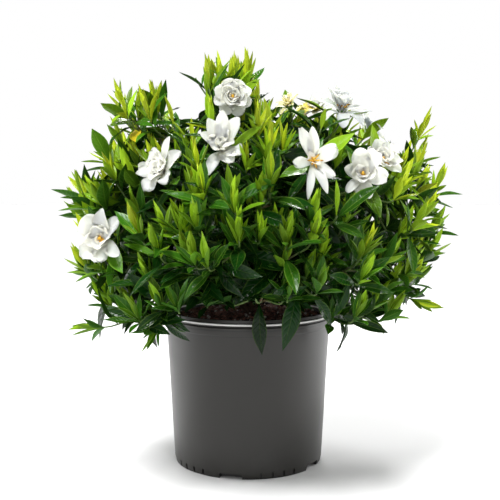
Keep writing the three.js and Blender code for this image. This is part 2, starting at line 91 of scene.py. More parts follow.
class GardeniaPotSettings(bpy.types.PropertyGroup):
    """Sizes and finish of the nursery pot."""

    sides: count_prop("Sides", "Sides of the round pot", 240)
    rim_radius: size_prop("Rim radius", "Widest radius, at the rolled bead", POT_HIGH.x)
    rim_height: size_prop("Rim height", "Height of the pot's top edge", POT_HIGH.z)
    plastic: colour_prop("Plastic", "Colour of the moulded plastic", (0.0128, 0.0118, 0.0094))
    scuff: colour_prop("Scuffs", "Colour of the dust and fine scratches", (0.027, 0.026, 0.024))
    # The painted highlight of the bead: a pale colour laid along its crown
    painted_bead_highlight: colour_prop("Rubbed edge", "Colour of the bead where it is rubbed pale", (0.80, 0.80, 0.78))
    roughness: share_prop("Roughness", "Roughness of the plastic", 0.36)


class GardeniaSoilSettings(bpy.types.PropertyGroup):
    """The potting mix: bark chips with grains of perlite."""

    chips: count_prop("Bark chips", "Chips of bark on the soil", 1500)
    chip_length: size_prop("Chip length", "Length of a middling chip", 0.0085)
    grains: count_prop("Perlite grains", "White grains on the soil", 130)
    grain_radius: size_prop("Grain radius", "Radius of a middling grain", 0.0016)
    bark: colour_prop("Bark", "Colour of the chips", (0.165, 0.075, 0.055))
    perlite: colour_prop("Perlite", "Colour of the grains", (0.62, 0.56, 0.52))


class GardeniaWoodSettings(bpy.types.PropertyGroup):
    """The woody crown and limbs."""

    sides: count_prop("Sides", "Sides of a limb", 12)
    crown_radius: size_prop("Crown radius", "Radius of the crown where it leaves the soil", 0.009)
    bark: colour_prop("Bark", "Colour of the older bark", (0.115, 0.068, 0.038))
    young_bark: colour_prop("Young bark", "Colour of the furrows and young bark", (0.045, 0.026, 0.014))


class GardeniaLeafSettings(bpy.types.PropertyGroup):
    """Leaves and their stems."""

    spent: colour_prop("Spent", "Colour of a spent leaf", (0.80, 0.62, 0.02))
    young: colour_prop("Young", "Colour of a leaf that is just opening", (0.29, 0.48, 0.012))
    fresh: colour_prop("Fresh", "Colour of a leaf of this season", (0.030, 0.120, 0.004))
    mature: colour_prop("Mature", "Colour of a full-grown leaf", (0.0038, 0.028, 0.0022))
    old: colour_prop("Old", "Colour of an old leaf", (0.0022, 0.0190, 0.0018))
    stem: colour_prop("Stem", "Colour of a green stem", (0.085, 0.15, 0.026))
    twigs: count_prop("Twigs", "Side twigs added to each main stem", 5)
    thickness: size_prop("Thickness", "Thickness of a leaf at its midrib", 0.0009)


class GardeniaBloomSettings(bpy.types.PropertyGroup):
    """Petals, stamens and stigma."""

    petal: colour_prop("Petal", "Colour of a fresh petal", (0.715, 0.72, 0.625))
    throat: colour_prop("Throat", "Colour of a petal near its root", (0.78, 0.72, 0.54))
    edge: colour_prop("Edge", "Colour of a petal's edge and lines", (0.61, 0.555, 0.42))
    faded: colour_prop("Faded", "Colour of a petal past its best", (0.74, 0.65, 0.25))
    # Painted shade: a cool grey that darkens the petals of the blooms given a negative tone
    painted_shade_grey: colour_prop("Thin", "Colour of a thin petal in the shade", (0.47, 0.515, 0.535))
    spent: colour_prop("Spent", "Colour of a spent petal", (0.74, 0.53, 0.03))
    stamen: colour_prop("Stamens", "Colour of the stamens and stigma", (0.80, 0.46, 0.04))
    stamen_tip: colour_prop("Stamen tips", "Colour of the tips", (0.20, 0.085, 0.02))
    thickness: size_prop("Thickness", "Thickness of a petal at its middle", 0.0007)


class GardeniaStageSettings(bpy.types.PropertyGroup):
    """Floor, lights and camera."""

    floor: colour_prop("Floor", "Colour of the plain floor", (0.79, 0.79, 0.79))
    floor_radius: size_prop("Floor radius", "Radius of the floor", 12.0)
    walls: share_prop("Walls", "Brightness of the white studio walls", 1.0, 4.0)
    ceiling: share_prop("Ceiling", "Brightness of the studio above the walls", 0.12, 4.0)
    key_light: share_prop("Key light", "Strength of the broad light from above", 4.3, 20.0)
    side_light: power_prop("Side lights", "Power of each tall soft box at the sides", 16)
    rim_light: power_prop("Rim light", "Power of the soft box above and behind", 34)
    fill_light: power_prop("Fill light", "Power of the wide soft box in front", 20)
    lens: bpy.props.FloatProperty(
        name="Lens", description="Focal length", default=65.66, min=1, unit="CAMERA")


class GardeniaSettings(bpy.types.PropertyGroup):
    """All settings of the potted gardenia."""

    pot: bpy.props.PointerProperty(type=GardeniaPotSettings)
    soil: bpy.props.PointerProperty(type=GardeniaSoilSettings)
    wood: bpy.props.PointerProperty(type=GardeniaWoodSettings)
    leaf: bpy.props.PointerProperty(type=GardeniaLeafSettings)
    bloom: bpy.props.PointerProperty(type=GardeniaBloomSettings)
    stage: bpy.props.PointerProperty(type=GardeniaStageSettings)


# Random numbers and directions

DRAW_FACTOR = 1664525
DRAW_STEP = 1013904223
DRAW_MASK = 0xFFFFFFFF
NEARLY_UPRIGHT = 1e-3


class Draw:
    """Seeded random numbers from 0 to 1, each from the upper 24 bits of a 32-bit number."""

    def __init__(self, seed):
        self.state = seed

    def __call__(self):
        self.state = (self.state * DRAW_FACTOR + DRAW_STEP) & DRAW_MASK
        return (self.state >> 8) / (1 << 24)

    def spread(self, amount):
        return (self() * 2 - 1) * amount

    def between(self, low, high):
        return low + (high - low) * self()


def unit(vector):
    return vector / np.linalg.norm(vector)


def units(vectors):
    return vectors / np.linalg.norm(vectors, axis=-1, keepdims=True)


def turned(first, second, angle):
    """The direction between two square ones, at an angle from the first."""
    return first * math.cos(angle) + second * math.sin(angle)


def millimetres(*numbers):
    return np.array(numbers, float) * MM


class Curve:
    """A Bezier curve through any number of control points."""

    def __init__(self, *controls):
        self.controls = [np.array(point, float) for point in controls]

    def at(self, t):
        points = self.controls
        while len(points) > 1:
            points = [a + (b - a) * t for a, b in zip(points, points[1:])]
        return points[0]

    def tangent(self, t):
        step = 1e-4
        return unit(self.at(min(t + step, 1)) - self.at(max(t - step, 0)))

    def reach(self):
        return np.linalg.norm(self.controls[-1] - self.controls[0])


# Patches: how the points of a leaf, petal, stem or chip are joined into faces

@dataclass
class Patch:
    """The faces of a kind of small form, ready to be laid over its points."""

    loops: np.ndarray
    sizes: np.ndarray
    under: np.ndarray
    ways: np.ndarray
    crisp: np.ndarray


def patch_of(faces, under, ways, crisp):
    """A patch from its faces, and what is known of each face and point."""
    return Patch(
        loops=np.array([corner for face in faces for corner in face], np.int32),
        sizes=np.array([len(face) for face in faces], np.int32),
        under=np.array(under, np.float32),
        ways=np.array(ways, np.float32),
        crisp=np.array(crisp, bool),
    )


def blade_faces(rows, width):
    """The faces of a thin blade, each with a 1 on its lower side and a 0 on its upper one."""
    inner = width - 2
    tip = rows * (width + inner)

    def upper(row, column):
        return tip if row == rows else row * width + column

    def lower(row, column):
        if row == rows or column in (0, width - 1):
            return upper(row, column)
        return rows * width + row * inner + column - 1

    faces = []
    for row in range(rows):
        for column in range(width - 1):
            top = [upper(row, column), upper(row, column + 1),
                   upper(row + 1, column + 1), upper(row + 1, column)]
            bottom = [lower(row, column), lower(row + 1, column),
                      lower(row + 1, column + 1), lower(row, column + 1)]
            faces += [(top, 0), (bottom, 1)]
    for column in range(width - 1):
        root = [upper(0, column), lower(0, column), lower(0, column + 1), upper(0, column + 1)]
        faces.append((root, 1))
    return faces


def blade_patch(rows, columns):
    """A thin closed blade: two sheets that share their edges, with a square root and a pointed tip."""
    width = len(columns)
    corners, under = zip(*blade_faces(rows, width))
    faces = [list(dict.fromkeys(face)) for face in corners]
    across = [(column + 1) / 2 for column in columns]
    ways = [(u, row / rows) for row in range(rows) for u in across]
    ways += [(u, row / rows) for row in range(rows) for u in across[1:-1]]
    crisp = [column in (0, width - 1) for row in range(rows) for column in range(width)]
    crisp += [False] * (rows * (width - 2))
    return patch_of(faces, under, [*ways, (0.5, 1)], [*crisp, True])


def blade_points(upper, normal, depth, tip):
    """The points of a thin blade: its upper sheet, its lower one within the edges, and its tip."""
    lower = upper[:, 1:-1] - normal[:, None] * depth[None, :, None]
    return np.concatenate([upper[:-1].reshape(-1, 3), lower[:-1].reshape(-1, 3), tip])


def tube_patch(rings, sides):
    """A closed tube through rings of points, with flat ends."""
    faces = [
        [row * sides + k, row * sides + (k + 1) % sides,
         (row + 1) * sides + (k + 1) % sides, (row + 1) * sides + k]
        for row in range(rings - 1) for k in range(sides)
    ]
    last = (rings - 1) * sides
    faces += [list(range(sides - 1, -1, -1)), list(range(last, last + sides))]
    ways = [(k / sides, row / (rings - 1)) for row in range(rings) for k in range(sides)]
    return patch_of(faces, [0] * len(faces), ways, [False] * len(ways))


def lump_patch(detail):
    """A ball of triangles, and the unit points that it is laid over."""
    ball = bmesh.new()
    bmesh.ops.create_icosphere(ball, subdivisions=detail, radius=1)
    points = np.array([vertex.co[:] for vertex in ball.verts])
    faces = [[vertex.index for vertex in face.verts] for face in ball.faces]
    ball.free()
    return patch_of(faces, [0] * len(faces), [(0, 0)] * len(points), [False] * len(points)), points


class Growth:
    """Gathers patches into one mesh, with a finish and a tone for each face."""

    def __init__(self):
        self.parts = []
        self.count = 0

    def add(self, patch, points, finish=0, tone=(0.0, 0.0)):
        faces = len(patch.sizes)
        tones = np.empty((faces, 3), np.float32)
        tones[:, :2] = tone
        tones[:, 2] = patch.under
        self.parts.append({
            "points": np.asarray(points, np.float32).reshape(-1, 3),
            "loops": patch.loops + self.count,
            "sizes": patch.sizes,
            "ways": patch.ways[patch.loops],
            "crisp": patch.crisp,
            "tones": tones,
            "finish": np.full(faces, finish, np.int32),
        })
        self.count += len(patch.ways)

    def gathered(self, key):
        return np.concatenate([part[key] for part in self.parts])

    def mesh(self, name, materials):
        mesh = bpy.data.meshes.new(name)
        points, loops, sizes = self.gathered("points"), self.gathered("loops"), self.gathered("sizes")
        mesh.vertices.add(len(points))
        mesh.vertices.foreach_set("co", points.ravel())
        mesh.loops.add(len(loops))
        mesh.loops.foreach_set("vertex_index", loops)
        mesh.polygons.add(len(sizes))
        starts = np.concatenate(([0], np.cumsum(sizes)[:-1]))
        mesh.polygons.foreach_set("loop_start", starts.astype(np.int32))
        mesh.polygons.foreach_set("material_index", self.gathered("finish"))
        mesh.polygons.foreach_set("use_smooth", np.ones(len(sizes), bool))
        mesh.uv_layers.new(name="way").data.foreach_set("uv", self.gathered("ways").ravel())
        tone = mesh.attributes.new("tone", "FLOAT_VECTOR", "FACE")
        tone.data.foreach_set("vector", self.gathered("tones").ravel())
        mesh.update(calc_edges=True)
        ends = np.empty(len(mesh.edges) * 2, np.int32)
        mesh.edges.foreach_get("vertices", ends)
        crisp = self.gathered("crisp")[ends.reshape(-1, 2)].all(axis=1)
        mesh.edges.foreach_set("use_edge_sharp", crisp)
        for material in materials:
            mesh.materials.append(material)
        return mesh


def linked(name, data):
    """A new object of the scene."""
    item = bpy.data.objects.new(name, data)
    bpy.context.scene.collection.objects.link(item)
    return item


def mesh_of(name, body):
    """A mesh from a bmesh body, which is given up."""
    mesh = bpy.data.meshes.new(name)
    body.to_mesh(mesh)
    body.free()
    return mesh


def numbered(kind, index):
    """The name of a piece or CAD node that is one of several: they are numbered from 01."""
    return f"{kind}_{index + 1:02d}"


def placed(name, mesh, slot, *nodes):
    """Puts a mesh in the scene as a piece of the plant, in place of the CAD nodes that it stands for."""
    piece = linked(name, mesh)
    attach(piece, "root")
    if nodes:
        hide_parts(*nodes)


def ring_round(point, aim, aside, radius, sides):
    """A ring of points round one point, square to its aim."""
    side = unit(aside - aim * aside.dot(aim))
    across = np.cross(aim, side)
    angles = FULL_TURN * np.arange(sides) / sides
    return point + radius * (np.cos(angles)[:, None] * side + np.sin(angles)[:, None] * across)


def tube_points(path, radii, sides):
    """Rings round the points of a path, square to the way that it runs."""
    path = np.asarray(path)
    aims = units(np.gradient(path, axis=0))
    overall = unit(path[-1] - path[0])
    aside = np.cross(overall, UP)
    if np.linalg.norm(aside) < NEARLY_UPRIGHT:
        aside = np.array((1.0, 0.0, 0.0))
    return np.concatenate([
        ring_round(point, aim, aside, radius, sides) for point, aim, radius in zip(path, aims, radii)
    ])


# Material nodes

# Sockets of a Mix node that mixes colours
MIX_FACTOR, MIX_FIRST, MIX_SECOND, MIX_RESULT = 0, 6, 7, 2


class Finish:
    """A material with one Principled shader, and short ways to add the nodes that feed it."""

    def __init__(self, name):
        self.material = bpy.data.materials.new(name)
        self.material.use_nodes = True
        self.tree = self.material.node_tree
        self.shader = self.tree.nodes["Principled BSDF"]

    def set(self, **sockets):
        """Sets or links the shader's sockets."""
        self.feed(self.shader, {key.replace("_", " "): value for key, value in sockets.items()})

    def feed(self, node, sockets):
        """Sets or links sockets of a node, found by name or number."""
        for key, value in sockets.items():
            socket = node.inputs[key]
            if isinstance(value, bpy.types.NodeSocket):
                self.tree.links.new(value, socket)
            elif isinstance(value, tuple) and len(value) == 3 and socket.type == "RGBA":
                socket.default_value = (*value, 1)
            else:
                socket.default_value = value

    def node(self, kind, sockets=None, **settings):
        made = self.tree.nodes.new(kind)
        for key, value in settings.items():
            setattr(made, key, value)
        self.feed(made, sockets or {})
        return made

    def math(self, operation, *values):
        made = self.tree.nodes.new("ShaderNodeMath")
        made.operation = operation
        self.feed(made, dict(enumerate(values)))
        return made.outputs[0]

    def band(self, value, low, high, to_low=0.0, to_high=1.0):
        """A smooth step from one value to another."""
        made = self.node("ShaderNodeMapRange", {
            "Value": value, "From Min": low, "From Max": high, "To Min": to_low, "To Max": to_high,
        }, interpolation_type="SMOOTHSTEP")
        return made.outputs["Result"]

    def mix(self, factor, first, second, blend="MIX"):
        made = self.node("ShaderNodeMix", data_type="RGBA", blend_type=blend)
        for index, value in ((MIX_FACTOR, factor), (MIX_FIRST, first), (MIX_SECOND, second)):
            ready = isinstance(value, (bpy.types.NodeSocket, float))
            self.feed(made, {index: value if ready else tuple(value)})
        return made.outputs[MIX_RESULT]

    def brightened(self, colour, value):
        return self.node("ShaderNodeHueSaturation", {"Value": value, "Color": colour}).outputs["Color"]

    def noise(self, scale, detail=3.0, roughness=0.55, at=None):
        sockets = {"Scale": scale, "Detail": detail, "Roughness": roughness}
        if at is not None:
            sockets["Vector"] = at
        return self.node("ShaderNodeTexNoise", sockets).outputs["Fac"]

    def position(self):
        return self.node("ShaderNodeTexCoord").outputs["Object"]

    def stretched(self, at, scale):
        return self.node("ShaderNodeMapping", {"Vector": at, "Scale": scale}).outputs[0]

    def split(self, vector):
        return self.node("ShaderNodeSeparateXYZ", {"Vector": vector}).outputs

    def tone(self):
        """The tone of a face: for a leaf its age with painted shade added, for a petal its fade with
        painted shade, then its own chance number, and 1 on a lower side.
        """
        return self.split(self.node("ShaderNodeAttribute", attribute_name="tone").outputs["Vector"])

    def way(self):
        """Across and along a leaf, petal or stem, from 0 to 1."""
        return self.node("ShaderNodeUVMap", uv_map="way").outputs["UV"]

    def off_midrib(self, across):
        """How far to the side of a leaf or petal: 0 at its middle line and 1 at its edges."""
        return self.math("ABSOLUTE", self.math("MULTIPLY_ADD", across, 2.0, -1.0))

    def ramp(self, value, stops):
        made = self.node("ShaderNodeValToRGB", {"Fac": value})
        elements = made.color_ramp.elements
        while len(elements) < len(stops):
            elements.new(0.5)
        for element, (at, colour) in zip(elements, stops):
            element.position = at
            element.color = (*colour, 1)
        return made.outputs["Color"]

    def bump(self, height, strength, distance, under=None):
        sockets = {"Height": height, "Strength": strength, "Distance": distance}
        if under is not None:
            sockets["Normal"] = under
        return self.node("ShaderNodeBump", sockets).outputs["Normal"]


# Pot

DRAIN_COUNT = 5
DRAIN_TURN = math.radians(-103)
DRAIN_SIZE = millimetres(16, 31, 7.5)
DRAIN_ROUNDING = 3 * MM
GROOVES_PER_GAP = 4
GROOVE_PITCH = math.radians(9)
GROOVE_SIZE = millimetres(4.6, 3.4, 9.0)
GROOVE_ROUNDING = 1 * MM
FOOT_RADIUS = 104.2 * MM
RIM_BAND = 22.6
BEAD_REACH = 2.2
WALL = 2.2
LONGEST_CUT = 0.45
ON_AXIS = 1e-6
POT_CRISP = math.radians(32)

# Creases of the rim, darkened with painted shade and pressed in by the bump: how far below the top edge,
# and how wide
POT_CREASES = [(10.2, 1.0), (14.4, 0.9), (22.0, 0.9), (5.0, 0.7)]
CREASE_CORE = 0.4
CREASE_SHADE = 0.75
CREASE_DEPTH = -9.0

# Colour of the painted shade, and where else it lies besides the creases: up to these heights at the foot
# and in its notches, and inward from these radii
PAINTED_SHADE_COLOUR = (0.0025, 0.0025, 0.0022)
FOOT_SHADE = millimetres(1.2, 3.0)
NOTCH_SHADE = millimetres(8.6, 9.4)
NOTCH_INWARD = FOOT_RADIUS - millimetres(2.0, 1.3)

# The crown of the bead, where a pale highlight is painted: how far below the top edge, and how wide
HIGHLIGHT_DROP = 6.4 * MM
HIGHLIGHT_WIDTH = millimetres(0.7, 1.6)


def pot_profile(settings):
    """Radius, height and rounding of each corner, from the underside's middle round to the floor inside."""
    rim = settings.rim_radius / MM
    top = settings.rim_height / MM
    foot = FOOT_RADIUS / MM
    wall_top, wall_edge = top - RIM_BAND, rim - BEAD_REACH
    corners = [
        (0, 0, 0), (62, 0, 1), (66, 5, 1), (foot - 10.6, 5, 1), (foot - 5.6, 0, 0.8), (foot - 1.6, 0, 1.2),
        (foot, 6, 3),
        (wall_edge, wall_top, 0.6), (wall_edge + 0.8, wall_top + 2, 0.7),
        (wall_edge + 1.2, wall_top + 11.4, 0.7), (wall_edge + 0.2, wall_top + 12.6, 0.4),
        (rim - 0.6, wall_top + 13.8, 0.5), (rim, wall_top + 15.6, 0.9), (rim - 0.6, wall_top + 17.2, 0.6),
        (wall_edge + 0.2, wall_top + 18, 0.5), (wall_edge - 0.2, top - 0.6, 0.4),
        (wall_edge - 0.8, top, 0.3), (wall_edge - 1.8, top - 0.4, 0.3),
        (wall_edge - WALL, wall_top, 0.5), (foot - WALL, 12, 2), (foot - WALL - 4, 8, 2),
        (0, 8, 0),
    ]
    return [millimetres(*corner) for corner in corners]


def rounded(corners, steps=3):
    """The outline with each corner turned in a short arc."""
    outline = [corners[0][:2]]
    for before, corner, after in zip(corners, corners[1:], corners[2:]):
        here, radius = corner[:2], corner[2]
        back, ahead = before[:2] - here, after[:2] - here
        cut = min(radius, LONGEST_CUT * np.linalg.norm(back), LONGEST_CUT * np.linalg.norm(ahead))
        arc = Curve(here + unit(back) * cut, here, here + unit(ahead) * cut)
        outline += [arc.at(k / steps) for k in range(steps + 1)]
    return [*outline, corners[-1][:2]]


def lathed(name, outline, sides):
    """A closed round body from an outline that starts and ends on the axis."""
    body = bmesh.new()
    rings = []
    for radius, height in outline:
        angles = [FULL_TURN * k / sides for k in range(sides if radius > ON_AXIS else 1)]
        rings.append([
            body.verts.new((radius * math.cos(angle), radius * math.sin(angle), height)) for angle in angles
        ])
    for low, high in zip(rings, rings[1:]):
        for k in range(sides):
            ahead = (k + 1) % sides
            corners = [low[k % len(low)], low[ahead % len(low)],
                       high[ahead % len(high)], high[k % len(high)]]
            body.faces.new(list(dict.fromkeys(corners)))
    bmesh.ops.recalc_face_normals(body, faces=body.faces)
    return mesh_of(name, body)


def foot_cutter(body, turn, size, rounding):
    """A block across the foot ring with rounded upper corners, turned round the pot's axis."""
    depth, width, height = size
    half = width / 2
    corners = [(-half, -height, 0), (-half, height, rounding), (half, height, rounding), (half, -height, 0)]
    outline = rounded([np.array(corner) for corner in corners], 4)
    place = Matrix.Rotation(turn, 3, "Z")
    inner, outer = (
        [body.verts.new(place @ Vector((FOOT_RADIUS + shift, y, z))) for y, z in outline]
        for shift in (-depth / 2, depth / 2)
    )
    count = len(outline)
    for k in range(count):
        ahead = (k + 1) % count
        body.faces.new((inner[k], inner[ahead], outer[ahead], outer[k]))
    body.faces.new(inner)
    body.faces.new(reversed(outer))


def foot_cutters():
    """The blocks that cut the drains, and the grooves between them."""
    body = bmesh.new()
    for drain in range(DRAIN_COUNT):
        turn = DRAIN_TURN + FULL_TURN * drain / DRAIN_COUNT
        foot_cutter(body, turn, DRAIN_SIZE, DRAIN_ROUNDING)
        middle = turn + FULL_TURN / DRAIN_COUNT / 2
        for groove in range(GROOVES_PER_GAP):
            groove_turn = middle + (groove - (GROOVES_PER_GAP - 1) / 2) * GROOVE_PITCH
            foot_cutter(body, groove_turn, GROOVE_SIZE, GROOVE_ROUNDING)
    bmesh.ops.recalc_face_normals(body, faces=body.faces)
    return mesh_of("foot_cutters", body)


def cut_away(mesh, cutter_mesh):
    """The mesh with the cutters taken out of it."""
    blank = linked("blank", mesh)
    cutter = linked("cutter", cutter_mesh)
    cut = blank.modifiers.new("cut", "BOOLEAN")
    cut.operation = "DIFFERENCE"
    cut.solver = "EXACT"
    cut.object = cutter
    bpy.context.view_layer.update()
    result = bpy.data.meshes.new_from_object(blank.evaluated_get(bpy.context.evaluated_depsgraph_get()))
    for item in (blank, cutter):
        bpy.data.objects.remove(item)
    return result


def smooth_but_crisp(mesh, angle):
    """Smooth shading, with a crisp edge where two faces meet at more than the angle."""
    body = bmesh.new()
    body.from_mesh(mesh)
    for face in body.faces:
        face.smooth = True
    for edge in body.edges:
        edge.smooth = len(edge.link_faces) == 2 and edge.calc_face_angle() < angle
    body.to_mesh(mesh)
    body.free()


def rim_creases(finish, height, settings):
    """The turned creases at the rim, under the bead and at the band's ledge."""
    lines = None
    for below_top, reach in POT_CREASES:
        off = finish.math("ABSOLUTE", finish.math("SUBTRACT", height, settings.rim_height - below_top * MM))
        line = finish.band(off, reach * CREASE_CORE * MM, reach * MM, CREASE_SHADE, 0.0)
        lines = line if lines is None else finish.math("MAXIMUM", lines, line)
    return lines


def painted_shade_mask(finish, height, creases):
    """How much painted shade lies at a place: in the creases, at the very foot, and in the drains and
    grooves.
    """
    lines = finish.math("MAXIMUM", creases, finish.band(height, *FOOT_SHADE, 0.85, 0.0))
    sockets = {0: finish.position(), 1: (1, 1, 0)}
    flat = finish.node("ShaderNodeVectorMath", sockets, operation="MULTIPLY").outputs[0]
    radius = finish.node("ShaderNodeVectorMath", {0: flat}, operation="LENGTH").outputs["Value"]
    inward = finish.band(radius, *NOTCH_INWARD, 0.92, 0.0)
    low = finish.band(height, *NOTCH_SHADE, 1.0, 0.0)
    return finish.math("MAXIMUM", lines, finish.math("MULTIPLY", inward, low))


def pot_plastic(settings):
    """Satin moulded plastic: faint turning lines, fine upright scratches, a painted highlight along the
    bead's crown, and painted shade in the rim's creases, at the very foot and in the drains and grooves.
    """
    finish = Finish("pot_plastic")
    at = finish.position()
    height = finish.split(at)["Z"]
    cloud = finish.noise(14.0, 4.0, 0.6, at)
    scratches = finish.noise(1.0, 3.0, 0.7, finish.stretched(at, (520, 520, 26)))
    low = finish.band(height, 0.0, 0.06, 0.5, 0.0)
    dust = finish.math("MULTIPLY", finish.band(cloud, 0.42, 0.75), finish.math("ADD", low, 0.12))
    marks = finish.band(scratches, 0.62, 0.8, 0.0, 0.3)
    colour = finish.mix(finish.math("ADD", dust, marks), settings.plastic, settings.scuff)
    # Painted highlight: a pale line along the bead's crown, broken up by the cloud
    off_crown = finish.math("ABSOLUTE", finish.math("SUBTRACT", height, settings.rim_height - HIGHLIGHT_DROP))
    crown = finish.band(off_crown, *HIGHLIGHT_WIDTH, 0.95, 0.0)
    painted_bead_highlight = finish.math("MULTIPLY", crown, finish.band(cloud, 0.1, 0.4))
    colour = finish.mix(painted_bead_highlight, colour, settings.painted_bead_highlight)
    creases = rim_creases(finish, height, settings)
    # Painted shade: near black in the rim's creases, at the very foot and in the drains and grooves
    colour = finish.mix(painted_shade_mask(finish, height, creases), colour, PAINTED_SHADE_COLOUR)
    grain = finish.noise(1400.0, 2.0, 0.5, at)
    rings = finish.noise(1.0, 2.0, 0.5, finish.stretched(at, (3, 3, 260)))
    relief = finish.math("ADD", finish.math("MULTIPLY", grain, 0.5), rings)
    relief = finish.math("MULTIPLY_ADD", creases, CREASE_DEPTH, relief)
    rough = finish.math("ADD", finish.math("MULTIPLY", cloud, 0.18), settings.roughness - 0.06)
    finish.set(Base_Color=colour, Roughness=rough, Normal=finish.bump(relief, 0.12, 0.0004),
               Specular_IOR_Level=0.42)
    return finish.material


class GARDENIA_OT_pot(bpy.types.Operator):
    """Add the nursery pot: a tapered wall, a rolled bead at the rim, and a foot with drains and grooves"""

    bl_idname = "gardenia.add_pot"
    bl_label = "Pot"

    def execute(self, context):
        settings = context.scene.gardenia.pot
        blank = lathed("pot_blank", rounded(pot_profile(settings)), settings.sides)
        mesh = cut_away(blank, foot_cutters())
        smooth_but_crisp(mesh, POT_CRISP)
        mesh.materials.clear()
        mesh.materials.append(pot_plastic(settings))
        placed("nursery_pot", mesh, "pot", "pot")
        return {"FINISHED"}


# Soil

SOIL_EDGE_RADIUS = 111.6 * MM
SOIL_EDGE_HEIGHT = 202 * MM
SOIL_MOUND_HEIGHT = 208 * MM
SOIL_ROUGHNESS = 2.2 * MM
SOIL_LUMPS = (55, 150)
SOIL_EDGE_EASE = 9
SOIL_SIDES = 128
SOIL_RINGS = 44
SOIL_CRISP = math.radians(40)
SOIL_SEED = 5

# Radius and height of the mix where it lies in the foot of the pot, in millimetres
SOIL_FOOT = [(0, 8.3), (97.6, 8.3), (101.4, 12.3)]

# From where to where chips and grains lie, as shares of the soil's radius
CHIP_BELT = (0.09, 0.95)
GRAIN_BELT = (0.12, 0.94)

# Shapes of the chips and grains: shares of their middling size
CHIP_LENGTHS = (0.35, 1.0)
CHIP_WIDTHS = (0.4, 0.8)
CHIP_DEPTHS = (0.16, 0.34)
CHIP_JITTER = 0.34
CHIP_SQUARENESS = 0.6
CHIP_TILT = 0.7
CHIP_LIFT = 1.2
GRAIN_SIZES = (0.45, 1.3)
GRAIN_JITTER = 0.18


def soil_height(x, y):
    """Height of the mix at a place, before its chips."""
    share = min(math.hypot(x, y) / SOIL_EDGE_RADIUS, 1)
    mound = SOIL_EDGE_HEIGHT + (SOIL_MOUND_HEIGHT - SOIL_EDGE_HEIGHT) * (1 - share ** 2)
    broad, fine = SOIL_LUMPS
    lumps = noise.noise(Vector((x, y, 0)) * broad) + 0.5 * noise.noise(Vector((x, y, 1)) * fine)
    return mound + SOIL_ROUGHNESS * lumps * min(1, (1 - share) * SOIL_EDGE_EASE)


def soil_mesh():
    """The body of the mix: a mound with small lumps that fills the pot to just under its rim."""
    outline = [millimetres(*corner) for corner in SOIL_FOOT]
    outline.append(np.array((SOIL_EDGE_RADIUS, POT_HIGH.z - RIM_BAND * MM)))
    outline += [
        np.array((SOIL_EDGE_RADIUS * (1 - k / SOIL_RINGS), SOIL_EDGE_HEIGHT)) for k in range(SOIL_RINGS + 1)
    ]
    mesh = lathed("potting_mix", outline, SOIL_SIDES)
    for vertex in mesh.vertices:
        if vertex.co.z > SOIL_EDGE_HEIGHT - MM:
            vertex.co.z = soil_height(vertex.co.x, vertex.co.y)
    return mesh


def on_soil(draw, low, high):
    """A chance place on the mix, between two shares of its radius."""
    radius = SOIL_EDGE_RADIUS * math.sqrt(draw.between(low ** 2, high ** 2))
    angle = draw() * FULL_TURN
    x, y = radius * math.cos(angle), radius * math.sin(angle)
    return Vector((x, y, soil_height(x, y)))


def chip_turn(draw):
    """Lying nearly flat, turned any way."""
    tilt = Matrix.Rotation(draw.spread(CHIP_TILT), 3, "X") @ Matrix.Rotation(draw.spread(CHIP_TILT), 3, "Y")
    return np.array(Matrix.Rotation(draw() * FULL_TURN, 3, "Z") @ tilt)


def scattered_chips(settings):
    """Flat angular flakes of bark."""
    growth, draw = Growth(), Draw(SOIL_SEED)
    patch, ball = lump_patch(1)
    for _ in range(settings.chips):
        spot = on_soil(draw, *CHIP_BELT)
        size = settings.chip_length * draw.between(*CHIP_LENGTHS)
        shape = np.array((size, size * draw.between(*CHIP_WIDTHS), size * draw.between(*CHIP_DEPTHS))) / 2
        jitter = np.array([[1 + draw.spread(CHIP_JITTER) for _ in range(3)] for _ in ball])
        points = (np.sign(ball) * np.abs(ball) ** CHIP_SQUARENESS * jitter * shape) @ chip_turn(draw).T
        lift = Vector((0, 0, shape[2] * CHIP_LIFT))
        growth.add(patch, points + np.array(spot + lift), tone=(draw(), draw()))
    return growth


def scattered_grains(settings):
    """Round white grains of perlite."""
    growth, draw = Growth(), Draw(SOIL_SEED + 1)
    patch, ball = lump_patch(2)
    for _ in range(settings.grains):
        spot = on_soil(draw, *GRAIN_BELT)
        radius = settings.grain_radius * draw.between(*GRAIN_SIZES)
        jitter = np.array([1 + draw.spread(GRAIN_JITTER) for _ in ball])[:, None]
        centre = np.array(spot + Vector((0, 0, radius)))
        growth.add(patch, ball * jitter * radius + centre, tone=(draw(), draw()))
    return growth


def bark_mix(name, settings, dark):
    """Damp composted bark: dark red-brown, with a tone of its own for each chip."""
    finish = Finish(name)
    at = finish.position()
    tone = finish.tone()
    fleck = finish.noise(240.0, 4.0, 0.65, at)
    base = tuple(settings.bark)
    deep = tuple(dark * part for part in base)
    pale = tuple(min(1, 2.5 * part + 0.012) for part in base)
    colour = finish.ramp(finish.math("MULTIPLY", finish.math("ADD", fleck, tone[0]), 0.5),
                         [(0.2, deep), (0.55, base), (0.85, pale)])
    relief = finish.noise(700.0, 5.0, 0.7, at)
    finish.set(Base_Color=colour, Roughness=finish.band(fleck, 0.3, 0.7, 0.72, 0.95),
               Normal=finish.bump(relief, 0.6, 0.0012))
    return finish.material


def perlite_white(settings):
    """White perlite, greyer in its pores."""
    finish = Finish("perlite_white")
    at = finish.position()
    pores = finish.noise(1800.0, 3.0, 0.6, at)
    shade = tuple(0.6 * part for part in settings.perlite)
    colour = finish.mix(finish.band(pores, 0.35, 0.6), shade, tuple(settings.perlite))
    finish.set(Base_Color=colour, Roughness=0.9, Normal=finish.bump(pores, 0.7, 0.0006))
    return finish.material


